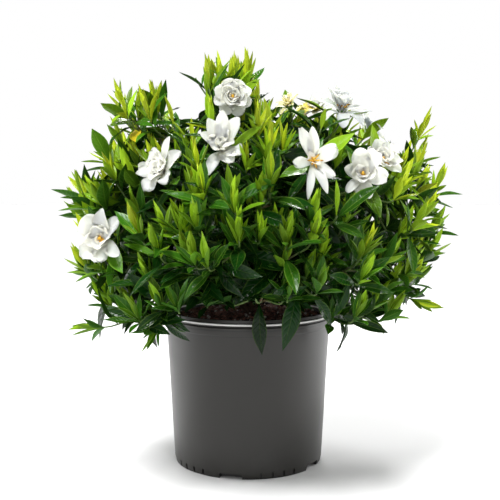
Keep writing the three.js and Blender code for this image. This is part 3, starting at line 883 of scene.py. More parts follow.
class GARDENIA_OT_soil(bpy.types.Operator):
    """Add the potting mix with its bark chips and grains of perlite"""

    bl_idname = "gardenia.add_soil"
    bl_label = "Soil"

    def execute(self, context):
        settings = context.scene.gardenia.soil
        mesh = soil_mesh()
        smooth_but_crisp(mesh, SOIL_CRISP)
        mesh.materials.append(bark_mix("damp_mix", settings, dark=0.3))
        placed("potting_mix", mesh, "soil", "soil")
        chips = scattered_chips(settings).mesh("bark_chips", [bark_mix("bark_chip", settings, dark=0.4)])
        chips.polygons.foreach_set("use_smooth", np.zeros(len(chips.polygons), bool))
        placed("bark_chips", chips, "soil")
        grains = scattered_grains(settings).mesh("perlite_grains", [perlite_white(settings)])
        placed("perlite_grains", grains, "soil")
        return {"FINISHED"}


# The plant's own lines, the same as in its solids

PLANT_SEED = 2417
GAP = 0.3 * MM
BUSH_CENTRE = millimetres(0, 0, 330)

# Crown and limbs
CROWN_FOOT = 132 * MM
CROWN_HEIGHT = 222 * MM
LIMB_SINK = 10 * MM
LIMB_BEND = 0.3
LIMB_RISE = 0.55
LIMB_START_RADIUS = 6.5 * MM
LIMB_END_RADIUS = 4.2 * MM
FORK_RADIUS = 2.9 * MM

# Leafy stems: how long, where they leave the wood and fork, and how they bend
SHOOT_LENGTH = 118 * MM
WOOD_SHARE = (0.22, 0.7)
SIDE_STEM_AT = 0.22
STEM_EASE = 0.34
STEM_LIFT = 0.1
OUTWARD_TURN = 0.55

# Leaves: how they are spaced and how they differ, their ages, and how near a solid's tip has to lie
SIDE_LEAVES_FROM = 0.15
PAIR_TURN = 90
PAIR_STEP = 0.025
PAIR_AGE = 0.38
PAIR_AGE_STEP = 0.2
TUFT_LEAF_AGE = 0.2
SIZE_SPREAD = 0.24
LEAN_SPREAD = 16
TURN_SPREAD = 30
TIP_TOLERANCE = 0.7 * MM

# Tiers of forks: how many, their radius, height and turn
TIERS = [(5, 84, 252, 15), (4, 78, 322, 51), (3, 46, 398, 100)]

# Rows of leaves: where they stand on a stem, how many on a main stem and on a side stem, and their lean,
# length, width and droop
LEAF_PAIRS = [(0.9, 2, 2, 48, 56, 17, 0.16), (0.62, 2, 1, 64, 66, 20, 0.24)]
YOUNG_TUFT = (0.96, 2, 1, 24, 38, 9.5, -0.06)

# Bends that a leaf may have taken to stand clear: turned round the stem and leaned, in degrees
BENDS = [(0, 0), (18, -8), (-18, -8), (34, 6), (-34, 6), (12, 16), (-12, 16), (50, -12), (-50, -12)]

# Tips of the leafy stems, one or two for each: x, y, z in millimetres. The first ones end in the blooms
SHOOT_TIPS = [
    [(-183, -112, 316)],
    [(-100, -140, 402), (-150, -70, 392)],
    [(-30, -158, 428), (-62, -176, 372)],
    [(-20, -66, 498), (-52, -8, 520)],
    [(78, -166, 416), (108, -176, 352)],
    [(143, -136, 399), (190, -72, 372)],
    [(168, -96, 414)],
    [(128, -14, 484), (96, -70, 462)],
    [(173, 60, 462)],
    [(59, 6, 494)],
    [(102, 46, 489)],
    [(-166, -12, 484), (-126, 18, 490)],
    [(-192, -22, 424)],
    [(-222, -26, 372), (-236, 34, 346)],
    [(-192, -84, 364)],
    [(-216, -48, 272), (-200, 24, 262)],
    [(-146, -112, 228)],
    [(-120, -150, 268), (-132, -158, 326)],
    [(-70, -202, 300)],
    [(-10, -222, 326)],
    [(-20, -206, 378)],
    [(46, -212, 322)],
    [(10, -160, 252), (70, -178, 276)],
    [(26, -200, 392)],
    [(28, -124, 456)],
    [(140, -166, 304)],
    [(236, 12, 420), (258, -4, 378)],
    [(232, -62, 344)],
    [(246, -14, 288), (214, -46, 252)],
    [(152, -122, 228)],
    [(0, 34, 536)],
    [(-206, 116, 420), (-214, 118, 330)],
    [(-120, 158, 456)],
    [(-124, 200, 344), (-160, 150, 250)],
    [(24, 152, 486), (34, 214, 410)],
    [(-22, 236, 332), (0, 212, 246)],
    [(138, 168, 426), (124, 204, 336)],
    [(212, 118, 344), (192, 146, 258)],
]

# The way that each bloom faces
BLOOM_FACES = [
    (-0.3, -0.9, 0.35), (-0.62, -0.62, 0.48), (-0.1, -0.72, 0.68), (0.02, -0.93, 0.36),
    (0.1, -0.95, 0.28), (-0.05, -0.94, 0.32), (0.3, -0.78, 0.55), (0.05, -0.35, 0.94),
    (0.5, 0.2, 0.84), (-0.3, -0.5, 0.8), (-0.2, -0.4, 0.88),
]


@dataclass
class Stem:
    """A leafy stem, or the stretch of wood below it: a curve from one share of it to another."""

    line: Curve
    start: float
    plan: int
    bloom: bool = False
    side: bool = False
    steps: int = 3
    end: float = 1.0

    def on_line(self, share):
        return self.start + (self.end - self.start) * share

    def at(self, share):
        return self.line.at(self.on_line(share))

    def tangent(self, share):
        return self.line.tangent(self.on_line(share))

    def ways(self, share):
        """The ways along the stem, aside and above, at a share of its length."""
        along = self.tangent(share)
        aside = unit(np.cross(along, UP))
        return along, aside, np.cross(aside, along)

    def bar(self, share):
        """The middle of the solid's straight-stepped bar at a share of its length."""
        step = min(int(share * self.steps), self.steps - 1)
        low, high = self.at(step / self.steps), self.at((step + 1) / self.steps)
        return low + (high - low) * (share * self.steps - step)


def forks():
    """Where the limbs end, tier by tier."""
    places = []
    for count, radius, height, turn in TIERS:
        for k in range(count):
            angle = math.radians(turn) + FULL_TURN * k / count
            places.append(millimetres(radius * math.cos(angle), radius * math.sin(angle), height))
    return places


FORKS = forks()


def nearest_fork(tip):
    """The fork that a leafy stem grows from: the nearest one, and best one below its tip."""
    return min(FORKS, key=lambda fork: np.linalg.norm(fork - tip) + max(fork[2] - tip[2], 0))


def end_of(tip):
    """The way that a leafy stem ends: upright and a little outward."""
    return unit(unit(tip - BUSH_CENTRE) * OUTWARD_TURN + UP)


def stem_line(root, tip, end):
    """The curve of a stem that first rises a little and ends the given way."""
    reach = np.linalg.norm(tip - root)
    first = root + (tip - root) * STEM_EASE + UP * STEM_LIFT * reach
    return Curve(root, first, tip - end * STEM_EASE * reach, tip)


def line_speed(line, t):
    step = 1e-3
    return np.linalg.norm(line.at(t + step) - line.at(t)) / step


def limb_line(fork):
    """The limb that runs from the crown to a fork."""
    crown_top = np.array((0, 0, CROWN_HEIGHT - LIMB_SINK))
    bend = crown_top + (fork - crown_top) * LIMB_BEND
    bend[2] = crown_top[2] + (fork[2] - crown_top[2]) * LIMB_RISE
    return Curve(crown_top, bend, fork)


def shoot_on(fork):
    """The number of a shoot that grows from a fork."""
    tips = [millimetres(*tips[0]) for tips in SHOOT_TIPS]
    return next(index for index, tip in enumerate(tips) if nearest_fork(tip) is fork)


def shoot_stems(index):
    """The stretch of wood and the leafy stems of one shoot."""
    tips = [millimetres(*tip) for tip in SHOOT_TIPS[index]]
    bloom = index < len(BLOOM_FACES)
    end = unit(np.array(BLOOM_FACES[index])) if bloom else end_of(tips[0])
    line = stem_line(nearest_fork(tips[0]), tips[0], end)
    start = min(max(1 - SHOOT_LENGTH / line.reach(), WOOD_SHARE[0]), WOOD_SHARE[1])
    wood = Stem(line, 0, index, end=start)
    stems = [Stem(line, start + GAP / line_speed(line, start), index, bloom)]
    for tip in tips[1:]:
        side_line = stem_line(stems[0].bar(SIDE_STEM_AT), tip, end_of(tip))
        stems.append(Stem(side_line, 0, index, side=True, steps=2))
    return wood, stems


# Wood

LIMB_RINGS = 12
TWIG_RINGS = 9
TWIG_TAPER = 0.9
CROWN_RINGS = 8
CROWN_FLARE = 1.25
CROWN_TAPER = 0.86
CROWN_OVERLAP = 2 * MM
CROWN_WOBBLE = 0.6 * MM
CROWN_SEED = PLANT_SEED + 5


def bark_brown(settings):
    """Brown bark with fine furrows and pale flecks."""
    finish = Finish("bark_brown")
    at = finish.position()
    furrows = finish.noise(1.0, 4.0, 0.65, finish.stretched(at, (420, 420, 120)))
    flecks = finish.noise(520.0, 2.0, 0.5, at)
    colour = finish.mix(finish.band(furrows, 0.35, 0.65), settings.young_bark, settings.bark)
    pale = tuple(min(1, 2.2 * part) for part in settings.bark)
    colour = finish.mix(finish.band(flecks, 0.66, 0.74, 0.0, 0.8), colour, pale)
    finish.set(Base_Color=colour, Roughness=0.82, Normal=finish.bump(furrows, 0.7, 0.0012))
    return finish.material


def crown_path(settings):
    """The crown's middle line, a little wavy, and its radii, wider at the foot."""
    heights = np.linspace(CROWN_FOOT, CROWN_HEIGHT + CROWN_OVERLAP, CROWN_RINGS)
    draw = Draw(CROWN_SEED)
    path = [np.array((draw.spread(CROWN_WOBBLE), draw.spread(CROWN_WOBBLE), height)) for height in heights]
    radii = settings.crown_radius * np.linspace(CROWN_FLARE, CROWN_TAPER, CROWN_RINGS)
    return path, radii


def add_limb(growth, patch, line, end, radii, sides):
    """A tapering limb along a line, from its start to a share of it."""
    rings = len(patch.ways) // sides
    path = [line.at(t) for t in np.linspace(0, end, rings)]
    growth.add(patch, tube_points(path, np.linspace(*radii, rings), sides))


class GARDENIA_OT_wood(bpy.types.Operator):
    """Add the crown, the limbs that fork from it and the woody twigs, covered in bark"""

    bl_idname = "gardenia.add_wood"
    bl_label = "Wood"

    def execute(self, context):
        settings = context.scene.gardenia.wood
        growth = Growth()
        path, radii = crown_path(settings)
        growth.add(tube_patch(len(path), settings.sides), tube_points(path, radii, settings.sides))
        limb_patch = tube_patch(LIMB_RINGS, settings.sides)
        for fork in FORKS:
            radii = (LIMB_START_RADIUS, LIMB_END_RADIUS)
            add_limb(growth, limb_patch, limb_line(fork), 1, radii, settings.sides)
        twig_patch = tube_patch(TWIG_RINGS, settings.sides)
        for index in range(len(SHOOT_TIPS)):
            wood, _ = shoot_stems(index)
            radii = (LIMB_END_RADIUS, FORK_RADIUS * TWIG_TAPER)
            add_limb(growth, twig_patch, wood.line, wood.end, radii, settings.sides)
        placed("woody_frame", growth.mesh("woody_frame", [bark_brown(settings)]), "bark", "trunk")
        return {"FINISHED"}


# Leaves

MATURE_COLUMNS = (-1, -0.5, 0, 0.5, 1)
YOUNG_COLUMNS = (-1, -0.45, 0, 0.45, 1)
MATURE_STEPS = 9
YOUNG_STEPS = 7
MATURE_PATCH = blade_patch(MATURE_STEPS, MATURE_COLUMNS)
YOUNG_PATCH = blade_patch(YOUNG_STEPS, YOUNG_COLUMNS)
STEM_SIDES = 8
STEM_RINGS = 12
STEM_PATCH = tube_patch(STEM_RINGS, STEM_SIDES)
STEM_START_RADIUS = 2.3 * MM
STEM_TIP_RADIUS = 1.2 * MM
TWIG_START_RADIUS = 1.5 * MM
TWIG_TIP_RADIUS = STEM_TIP_RADIUS * 0.8
FOLIAGE_SEED = 90

# A leaf's form: width at its root, how far out it is widest and how pointed, the waves of its edges, how it
# folds at the midrib, and how thick it is beside the midrib
PETIOLE_WIDTH = 1.5 * MM
LEAF_SHIFT = 1.12
LEAF_POINT = 1.12
LEAF_WAVES = 1.6
WAVE_OFFSET = 1.3
FOLD_POWER = 1.2
BLADE_SHARE = 0.45


@dataclass
class Leaf:
    """One leaf: its place on its stem, how it stands and its size."""

    stem: Stem
    at: float
    turn: float
    lean: float
    length: float
    width: float
    droop: float
    age_and_shade: float
    young: bool = False
    fold: float = 0.16
    sway: float = 0.0
    wave: float = 0.0
    chance: float = 0.5
    sky: float = 0.5


def leaf_frame(leaf, bend=(0, 0)):
    """Root on the solid's bar, and the ways along the leaf, across it and out of its upper face."""
    along, aside, above = leaf.stem.ways(leaf.at)
    outward = turned(aside, above, math.radians(leaf.turn + bend[0]))
    direction = turned(along, outward, math.radians(leaf.lean + bend[1]))
    face = along + UP * leaf.sky
    face = unit(face - direction * face.dot(direction))
    return leaf.stem.bar(leaf.at), direction, face, np.cross(direction, face)


def leaf_tip(leaf, bend):
    """Where a leaf's tip lies once the leaf has taken a bend."""
    root, direction, face, _ = leaf_frame(leaf, bend)
    return root + direction * leaf.length - face * leaf.droop * leaf.length


def row_leaves(stem, row, level, base_turn, draw):
    """The leaves of one row of a stem, in the solids' own order of chance numbers."""
    at, count, on_side, lean, length, width, droop = row
    young = row == YOUNG_TUFT
    bare = SIDE_LEAVES_FROM if stem.side else 0
    leaves = []
    for k in range(on_side if stem.side else count):
        size = 1 + draw.spread(SIZE_SPREAD)
        turn = base_turn + 360 * k / count + PAIR_TURN * level + draw.spread(TURN_SPREAD)
        lean_now = lean + draw.spread(LEAN_SPREAD / 3 if young else LEAN_SPREAD)
        leaves.append(Leaf(
            stem=stem, at=bare + (1 - bare) * (at - PAIR_STEP * k), turn=turn, lean=lean_now,
            length=length * size * MM, width=width * size * MM, droop=droop * (0.5 + draw()),
            age_and_shade=TUFT_LEAF_AGE if young else PAIR_AGE + PAIR_AGE_STEP * level, young=young,
        ))
    return leaves


def solid_leaves(all_stems):
    """The leaves that the solids have, each at the bend that it stands at there."""
    draw = Draw(PLANT_SEED)
    wished = []
    for stem in all_stems:
        rows = LEAF_PAIRS if stem.bloom else [YOUNG_TUFT, *LEAF_PAIRS]
        base_turn = draw() * 360
        for level, row in enumerate(rows):
            wished += row_leaves(stem, row, level, base_turn, draw)
    trees = {}
    found = []
    for leaf in wished:
        plan = leaf.stem.plan
        if plan not in trees:
            trees[plan] = tree_of(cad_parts[numbered("shoot", plan)])
        misses = [(trees[plan].find(leaf_tip(leaf, bend))[2], bend) for bend in BENDS]
        miss, bend = min(misses, key=lambda pair: pair[0])
        if miss < TIP_TOLERANCE:
            leaf.turn += bend[0]
            leaf.lean += bend[1]
            found.append(leaf)
    return found


def tree_of(node):
    """A search tree of a solid's points."""
    tree = KDTree(len(node.data.vertices))
    for vertex in node.data.vertices:
        tree.insert(vertex.co, vertex.index)
    tree.balance()
    return tree


def leaf_outline(t):
    """Width of a leaf along its length, from 0 to 1."""
    return np.sin(np.pi * t ** LEAF_SHIFT) ** LEAF_POINT


def leaf_points(leaf, patch_rows, columns, thickness):
    """The points of a leaf's upper and lower sheets and of its tip."""
    root, direction, face, across = leaf_frame(leaf)
    t = np.linspace(0, 1, patch_rows + 1)[:, None]
    shift = leaf.stem.at(leaf.at) - root
    spine = root + leaf.length * (direction * t - face * leaf.droop * t ** 2 + across * leaf.sway * t ** 2)
    spine = spine + shift * (1 - t)
    tangent = units(direction - 2 * face * leaf.droop * t + 2 * across * leaf.sway * t)
    normal = units(face - tangent * (tangent @ face)[:, None])
    side = np.cross(tangent, normal)
    half = np.maximum(leaf.width * leaf_outline(t), PETIOLE_WIDTH) / 2
    u = np.array(columns)[None, :]
    ripple = np.sin(FULL_TURN * (LEAF_WAVES * t + leaf.chance) + np.sign(u) * WAVE_OFFSET)
    rise = half * (leaf.fold * np.abs(u) ** FOLD_POWER + leaf.wave * ripple * u ** 2)
    upper = spine[:, None] + side[:, None] * (half * u)[..., None] + normal[:, None] * rise[..., None]
    inner = u[0, 1:-1]
    depth = thickness * np.where(inner == 0, 1, BLADE_SHARE) * np.sqrt(1 - inner ** 2)
    return blade_points(upper, normal, depth, spine[-1:])


def add_leaf(growth, leaf, thickness):
    young = (YOUNG_PATCH, YOUNG_STEPS, YOUNG_COLUMNS)
    patch, steps, columns = young if leaf.young else (MATURE_PATCH, MATURE_STEPS, MATURE_COLUMNS)
    points = leaf_points(leaf, steps, columns, thickness)
    growth.add(patch, points, finish=0, tone=(leaf.age_and_shade, leaf.chance))


def add_stem(growth, stem, radii):
    path = [stem.at(share) for share in np.linspace(0, 1, STEM_RINGS)]
    growth.add(STEM_PATCH, tube_points(path, np.linspace(*radii, STEM_RINGS), STEM_SIDES), finish=1)


# Room for the leaves that are added to those of the solids

CELL = 9 * MM
NEAR = 4.2 * MM
LEAST = 1.6 * MM
SAMPLE_SHARES = (0.3, 0.45, 0.6, 0.75, 0.9, 1)
SAMPLE_ASIDE = 0.4
BLOOM_SPAN = millimetres(-1, 45)
BLOOM_MIDDLE = 10 * MM
SIGHT_SHARE = 0.85
CAMERA_PLACE = np.array((0.0027, -1.28, 0.4))
CAMERA_PITCH = math.radians(4.62)

# How low leaves may hang: a little below the rim well outside it, and nearer in above it, more so in front
CLEAR_OF_RIM = 22 * MM
HANG_BELOW_RIM = 12 * MM
FRONT_FROM = -60 * MM
FRONT_ABOVE_RIM = 18 * MM
BACK_ABOVE_RIM = 5 * MM

# The bush's outline: height, how far it reaches to the left and to the right as it is seen, and to the
# front and the back
OUTLINE = MM * np.array([
    (178, -208, 208, 205), (206, -205, 212, 225), (225, -226, 240, 240), (250, -224, 248, 252),
    (290, -244, 268, 262), (330, -240, 280, 264), (360, -256, 280, 262), (388, -246, 286, 256),
    (412, -212, 276, 248), (450, -206, 250, 228), (484, -190, 246, 200), (498, -190, 132, 186),
    (530, -192, 134, 140), (545, -188, 26, 112), (556, -84, 0, 84), (578, -92, -68, 50),
])

# Where the soil is seen under the leaves: from left to right, and up to this height
SOIL_VIEW = millimetres(-80, 100, 217)

# Where the sky is seen between the stems, as the camera sees it: left, right, bottom and top
SKY_VIEWS = MM * np.array([
    (-105, -62, 482, 570), (20, 82, 508, 575), (-240, -197, 436, 570), (203, 224, 440, 530),
    (-200, -108, 541, 600),
])


def ahead_and_beside(points, place, axis):
    """How far points lie along an axis from a place, and how far from the axis."""
    offsets = points - place
    ahead = offsets @ axis
    return ahead, np.linalg.norm(offsets - ahead[:, None] * axis, axis=1)


class Room:
    """The places taken by leaves so far, and the blooms that leaves keep clear of."""

    def __init__(self, blooms):
        self.cells = {}
        self.blooms = blooms

    def add(self, points):
        for point in points:
            self.cells.setdefault(tuple(np.floor(point / CELL).astype(int)), []).append(point)

    def clearance(self, points, wished=NEAR):
        """How near the points come to a taken place, up to the distance that is wished for."""
        best = wished
        for point in points:
            low = np.floor((point - wished) / CELL).astype(int)
            high = np.floor((point + wished) / CELL).astype(int)
            for x in range(low[0], high[0] + 1):
                for y in range(low[1], high[1] + 1):
                    for z in range(low[2], high[2] + 1):
                        for taken in self.cells.get((x, y, z), ()):
                            best = min(best, math.dist(point, taken))
        return best

    def hides_bloom(self, points):
        """True if a point stands in a bloom, or between it and the camera."""
        for base, axis, reach in self.blooms:
            ahead, beside = ahead_and_beside(points, base, axis)
            if ((ahead > BLOOM_SPAN[0]) & (ahead < BLOOM_SPAN[1]) & (beside < reach)).any():
                return True
            centre = base + axis * BLOOM_MIDDLE
            ahead, beside = ahead_and_beside(points, centre, unit(CAMERA_PLACE - centre))
            if ((ahead > 0) & (beside < reach * SIGHT_SHARE)).any():
                return True
        return False


def leaf_samples(leaf):
    """Points along the middle of a leaf and at its sides, to test for room."""
    _, direction, face, across = leaf_frame(leaf)
    root = leaf.stem.at(leaf.at)

    def spot(t):
        return root + leaf.length * (direction * t - face * leaf.droop * t ** 2)

    aside = across * leaf.width * SAMPLE_ASIDE
    return np.array([*map(spot, SAMPLE_SHARES), spot(0.5) + aside, spot(0.5) - aside])


def find_room(leaf, room):
    """Turns a leaf to the first bend with room round it, or to the roomiest. False if there is none."""
    turn, lean = leaf.turn, leaf.lean
    best = LEAST
    chosen = None
    for bend in BENDS:
        leaf.turn, leaf.lean = turn + bend[0], lean + bend[1]
        samples = leaf_samples(leaf)
        if not fits(samples) or room.hides_bloom(samples):
            continue
        clearance = room.clearance(samples)
        if clearance > best:
            best, chosen = clearance, (leaf.turn, leaf.lean, samples)
        if clearance >= NEAR:
            break
    if chosen is None:
        return False
    leaf.turn, leaf.lean, samples = chosen
    room.add(samples)
    return True


def lowest_allowed(samples):
    """Leaves leave the soil and the rim in sight, and may hang a little below the rim further out."""
    if np.hypot(samples[:, 0], samples[:, 1]).min() > POT_HIGH.x + CLEAR_OF_RIM:
        return POT_HIGH.z - HANG_BELOW_RIM
    return POT_HIGH.z + (FRONT_ABOVE_RIM if samples[:, 1].min() < FRONT_FROM else BACK_ABOVE_RIM)


def as_seen(samples):
    """Where the camera sees the points, as x and z at the pot's middle."""
    nearness = CAMERA_PLACE[1] / (CAMERA_PLACE[1] - samples[:, 1])
    x = CAMERA_PLACE[0] + (samples[:, 0] - CAMERA_PLACE[0]) * nearness
    z = CAMERA_PLACE[2] + (samples[:, 2] - CAMERA_PLACE[2]) * nearness
    return x, z


def hides_sky(samples):
    """True if the camera sees a point where the open sky should be."""
    x, z = (part[:, None] for part in as_seen(samples))
    left, right, bottom, top = SKY_VIEWS.T
    return bool(((x > left) & (x < right) & (z > bottom) & (z < top)).any())


def fits(samples):
    """True if the points keep clear of the pot and of the open sky, and stay inside the bush's outline."""
    if samples[:, 2].min() < lowest_allowed(samples) or hides_sky(samples):
        return False
    heights, left, right, back = OUTLINE.T
    if (np.abs(samples[:, 1]) > np.interp(samples[:, 2], heights, back)).any():
        return False
    x, z = as_seen(samples)
    over_soil = (samples[:, 1] < 0) & (x > SOIL_VIEW[0]) & (x < SOIL_VIEW[1]) & (z < SOIL_VIEW[2])
    if over_soil.any():
        return False
    return bool(((x > np.interp(z, heights, left)) & (x < np.interp(z, heights, right))).all())


# Leaves that are added

# Rows along each kind of stem: the share of the stem, then the leaves' lean, length, width, droop and age
MAIN_ROWS = [(0.76, 54, 56, 16, 0.2, 0.48), (0.48, 66, 62, 17, 0.26, 0.64), (0.34, 70, 60, 17, 0.28, 0.76),
             (0.18, 74, 58, 17, 0.3, 0.88)]
SIDE_ROWS = [(0.78, 52, 50, 14.5, 0.18, 0.48), (0.42, 66, 56, 15.5, 0.24, 0.7)]
TWIG_ROWS = [(0.93, 40, 42, 12, 0.1, 0.32), (0.72, 56, 50, 14, 0.2, 0.48), (0.42, 66, 54, 15, 0.26, 0.68)]
WOOD_ROWS = [(0.95, 66, 58, 17, 0.3, 0.86), (0.8, 70, 58, 17, 0.3, 0.9), (0.6, 74, 56, 16, 0.32, 0.95)]
LIMB_ROWS = [(0.95, 66, 60, 17, 0.3, 0.96), (0.8, 66, 58, 17, 0.3, 1.0), (0.65, 62, 56, 16, 0.3, 1.0),
             (0.5, 60, 52, 15, 0.3, 1.0)]

# The tuft at a tip, one leaf to each row, how much older some tufts are, and from where on they are closed
TUFT = [(1.0, 1, 44, 9.6, 0.0, 0.10), (0.995, 3, 42, 9.4, -0.02, 0.12), (0.99, 7, 40, 9, -0.06, 0.15),
        (0.98, 14, 37, 8, -0.02, 0.19), (0.97, 26, 35, 8, 0.02, 0.24), (0.955, 44, 35, 8.5, 0.06, 0.3),
        (0.935, 54, 38, 9, 0.1, 0.38)]
TUFT_AGE = 0.2
TUFTS_AT_YOUNGEST = 0.35
TUFT_ROOM = slice(3, 6)
CLOSED_HEIGHT = 474 * MM
CLOSED_LEAN = 20

# Side twigs: where they may leave a stem or the wood, and how they stand
TWIG_SHARES = (0.2, 0.42, 0.62, 0.3, 0.52, 0.1, 0.74)
SIDE_TWIG_SHARES = (0.3, 0.6)
WOOD_TWIG_SHARES = (0.95, 0.75, 0.55)
TWIG_TURN = 137.5
TWIG_TRIES = 5
TWIG_LEANS = (42, 62)
TWIG_LENGTHS = (44, 74)
TWIG_RISE = 0.25
SET_TWIG_RISE = 0.3
TWIG_CLEAR = 3.6 * MM
TWIG_WISH = 15 * MM

# Points to test a twig by: shares of it, then two up through its tuft, and which of them are meant
TWIG_SAMPLES = (0.4, 0.7, 1)
TUFT_REACH = 36 * MM
ON_TWIG = slice(3)
FROM_TIP = slice(2, None)
NEAR_TIP = slice(1, 4)

# How far the added leaves differ from their row, mature ones first and then young ones
ADDED_SIZE_SPREAD = 0.2
ADDED_TURN_SPREAD = 22
ADDED_LEAN_SPREAD = (13, 3)
ADDED_DROOPS = (0.5, 1.4)
ADDED_AGE_SPREAD = (0.14, 0.03)
ADDED_FOLDS = (0.16, 0.42)
ADDED_YOUNG_FOLD = 0.55
ADDED_SWAY = 0.1
WAVES = (0.03, 0.11)
YOUNG_WAVE = 0.02

# The same for the leaves of the solids
SOLID_FOLDS = (0.14, 0.34)
SOLID_YOUNG_FOLD = 0.4
SOLID_SWAY = 0.08
SOLID_AGE_SPREAD = (0.14, 0.04)

# Twigs that are given one by one: the shoot's number, which of its stems, the share of it, and the twig's
# tip
SET_TWIGS = [
    (17, 0, 0.5, (-190, -110, 205)), (18, 0, 0.5, (-112, -142, 216)), (4, 1, 0.5, (-72, -10, 535)),
    (27, 0, 0.6, (240, 5, 455)), (29, 1, 0.5, (224, -40, 232)), (12, 0, 0.55, (-188, -30, 489)),
    (12, 0, 0.75, (-149, -32, 480)), (31, 0, 0.55, (-30, 4, 522)),
]

# Leaves that are given one by one: the same, with the leaf's tip, width and age. Stem -1 is the shoot's set
# twig
SET_LEAVES = [
    (18, -1, 0.9, (-72, -152, 194), 14, 0.9), (30, 0, 0.5, (123, -128, 196), 15, 0.8),
    (24, 0, 0.85, (36, -165, 428), 14, 0.2), (12, 0, 0.8, (-146, -82, 446), 18, 0.0),
    (2, 1, 0.6, (-132, -118, 385), 14, 0.2), (27, 1, 0.8, (293, 0, 349), 14, 0.5),
    (29, 1, 0.8, (205, -45, 190), 13, 0.7),
]
SET_LEAF_FORM = {"droop": 0.04, "fold": 0.24, "sway": 0.05, "wave": 0.06}

# Painted shade: leaves are given an older, darker green towards the middle of the bush and near the pot,
# and a fresher, lighter green at its sides and its top
SHADE_CENTRE = millimetres(10, -5, 345)
SHADE_RADII = millimetres(240, 235, 200)
SHADE_EDGE = 0.8
INWARD_GAIN = 0.9
INWARD_LEAST = -0.06
LOW_HEIGHT = 370 * MM
LOW_STEP = 100 * MM
LOW_SPAN = 210 * MM
LOW_GAIN_ASIDE = 0.06
LOW_GAIN_INNER = 0.14
HIGH_HEIGHT = 400 * MM
HIGH_STEP = 60 * MM
HIGH_LOSS = 0.12
SIDE_LOSS = 0.1
YOUNG_INWARD = 0.5
YOUNG_LOW = 0.85
LEAF_MIDDLE = 0.6
SPENT_AGE = 0.03
YOUNGEST = 0.06
FRESHEST = 0.36

# Width of the leaves near the top of the bush, as a share of their row's
NARROW = 0.78


def leaf_in_row(stem, row, turn, draw, young=False):
    """A leaf of a row, with its own chance differences."""
    at, lean, length, width, droop, age_and_shade = row
    size = 1 + draw.spread(ADDED_SIZE_SPREAD)
    width *= NARROW if stem.at(at)[2] > HIGH_HEIGHT else 1
    return Leaf(
        stem=stem, at=at, turn=turn + draw.spread(ADDED_TURN_SPREAD),
        lean=lean + draw.spread(ADDED_LEAN_SPREAD[young]),
        length=length * size * MM, width=width * size * MM, droop=droop * draw.between(*ADDED_DROOPS),
        age_and_shade=age_and_shade + draw.spread(ADDED_AGE_SPREAD[young]), young=young,
        fold=ADDED_YOUNG_FOLD if young else draw.between(*ADDED_FOLDS), sway=draw.spread(ADDED_SWAY),
        wave=YOUNG_WAVE if young else draw.between(*WAVES), chance=draw(),
    )


def finish_solid_leaf(leaf, draw):
    """Gives a leaf of the solids the bends and the colour that the solids leave out."""
    leaf.fold = SOLID_YOUNG_FOLD if leaf.young else draw.between(*SOLID_FOLDS)
    leaf.sway = draw.spread(SOLID_SWAY)
    leaf.wave = YOUNG_WAVE if leaf.young else draw.between(*WAVES)
    leaf.age_and_shade += draw.spread(SOLID_AGE_SPREAD[leaf.young])
    leaf.age_and_shade = leaf.age_and_shade if leaf.young else max(leaf.age_and_shade, FRESHEST)
    leaf.chance = draw()


def twig_on(stem, at, turn, draw):
    """A short side twig that leans out and then rises."""
    along, aside, above = stem.ways(at)
    outward = turned(aside, above, math.radians(turn))
    lean = math.radians(draw.between(*TWIG_LEANS))
    heading = unit(turned(along, outward, lean) + UP * TWIG_RISE)
    root = stem.at(at)
    tip = root + heading * draw.between(*TWIG_LENGTHS) * MM
    return Stem(stem_line(root, tip, end_of(tip)), 0, stem.plan, side=True)


def add_rows(stem, rows, room, draw, leaves):
    """Pairs of leaves along a stem, each pair square to the one before, where there is room."""
    base_turn = draw() * 360
    for level, row in enumerate(rows):
        for k in range(2):
            leaf = leaf_in_row(stem, row, base_turn + 180 * k + PAIR_TURN * level, draw)
            if find_room(leaf, room):
                leaves.append(leaf)


def add_tuft(stem, draw, leaves, room):
    """The folded young leaves at a tip, the innermost upright. The topmost tips are still closed."""
    base_turn = draw() * 360
    older = TUFT_AGE * max(0, draw() - TUFTS_AT_YOUNGEST)
    closed = stem.at(1)[2] > CLOSED_HEIGHT
    for k, row in enumerate(TUFT):
        leaf = leaf_in_row(stem, row, base_turn + TWIG_TURN * k, draw, young=True)
        leaf.sky = 0
        leaf.age_and_shade += older
        samples = leaf_samples(leaf)
        if not hides_sky(samples) and not (closed and row[1] > CLOSED_LEAN):
            leaves.append(leaf)
            room.add(samples[TUFT_ROOM])


def twig_reach(twig):
    """Points along a twig and up through its tuft."""
    ahead = twig.at(1) + twig.tangent(1) * TUFT_REACH * np.array([[0.5], [1]])
    return np.vstack([[twig.at(share) for share in TWIG_SAMPLES], ahead])


def free_twig(stem, at, room, draw):
    """The twig from this place that has the most room, or none."""
    start_turn = draw() * 360
    best, chosen = TWIG_CLEAR, None
    for k in range(TWIG_TRIES):
        twig = twig_on(stem, at, start_turn + TWIG_TURN * k, draw)
        reach = twig_reach(twig)
        if not fits(reach) or room.hides_bloom(reach):
            continue
        clearance = room.clearance(reach[NEAR_TIP], TWIG_WISH)
        if clearance > best:
            best, chosen = clearance, twig
    return chosen


def twig_places(wood, stems, count):
    """Where twigs may leave a shoot: its main stem first, then its side stem and its wood."""
    places = [(stems[0], share) for share in TWIG_SHARES[:count]]
    places += [(stem, share) for stem in stems[1:] for share in SIDE_TWIG_SHARES]
    return places + [(wood, share) for share in WOOD_TWIG_SHARES]


def set_twigs(shoots):
    """The twigs that are given one by one, as a list for each shoot."""
    twigs = {}
    for shoot, which, share, tip in SET_TWIGS:
        root = shoots[shoot - 1][1][which].at(share)
        tip = millimetres(*tip)
        end = unit(unit(tip - root) + SET_TWIG_RISE * UP)
        twigs.setdefault(shoot, []).append(Stem(stem_line(root, tip, end), 0, shoot - 1, side=True))
    return twigs


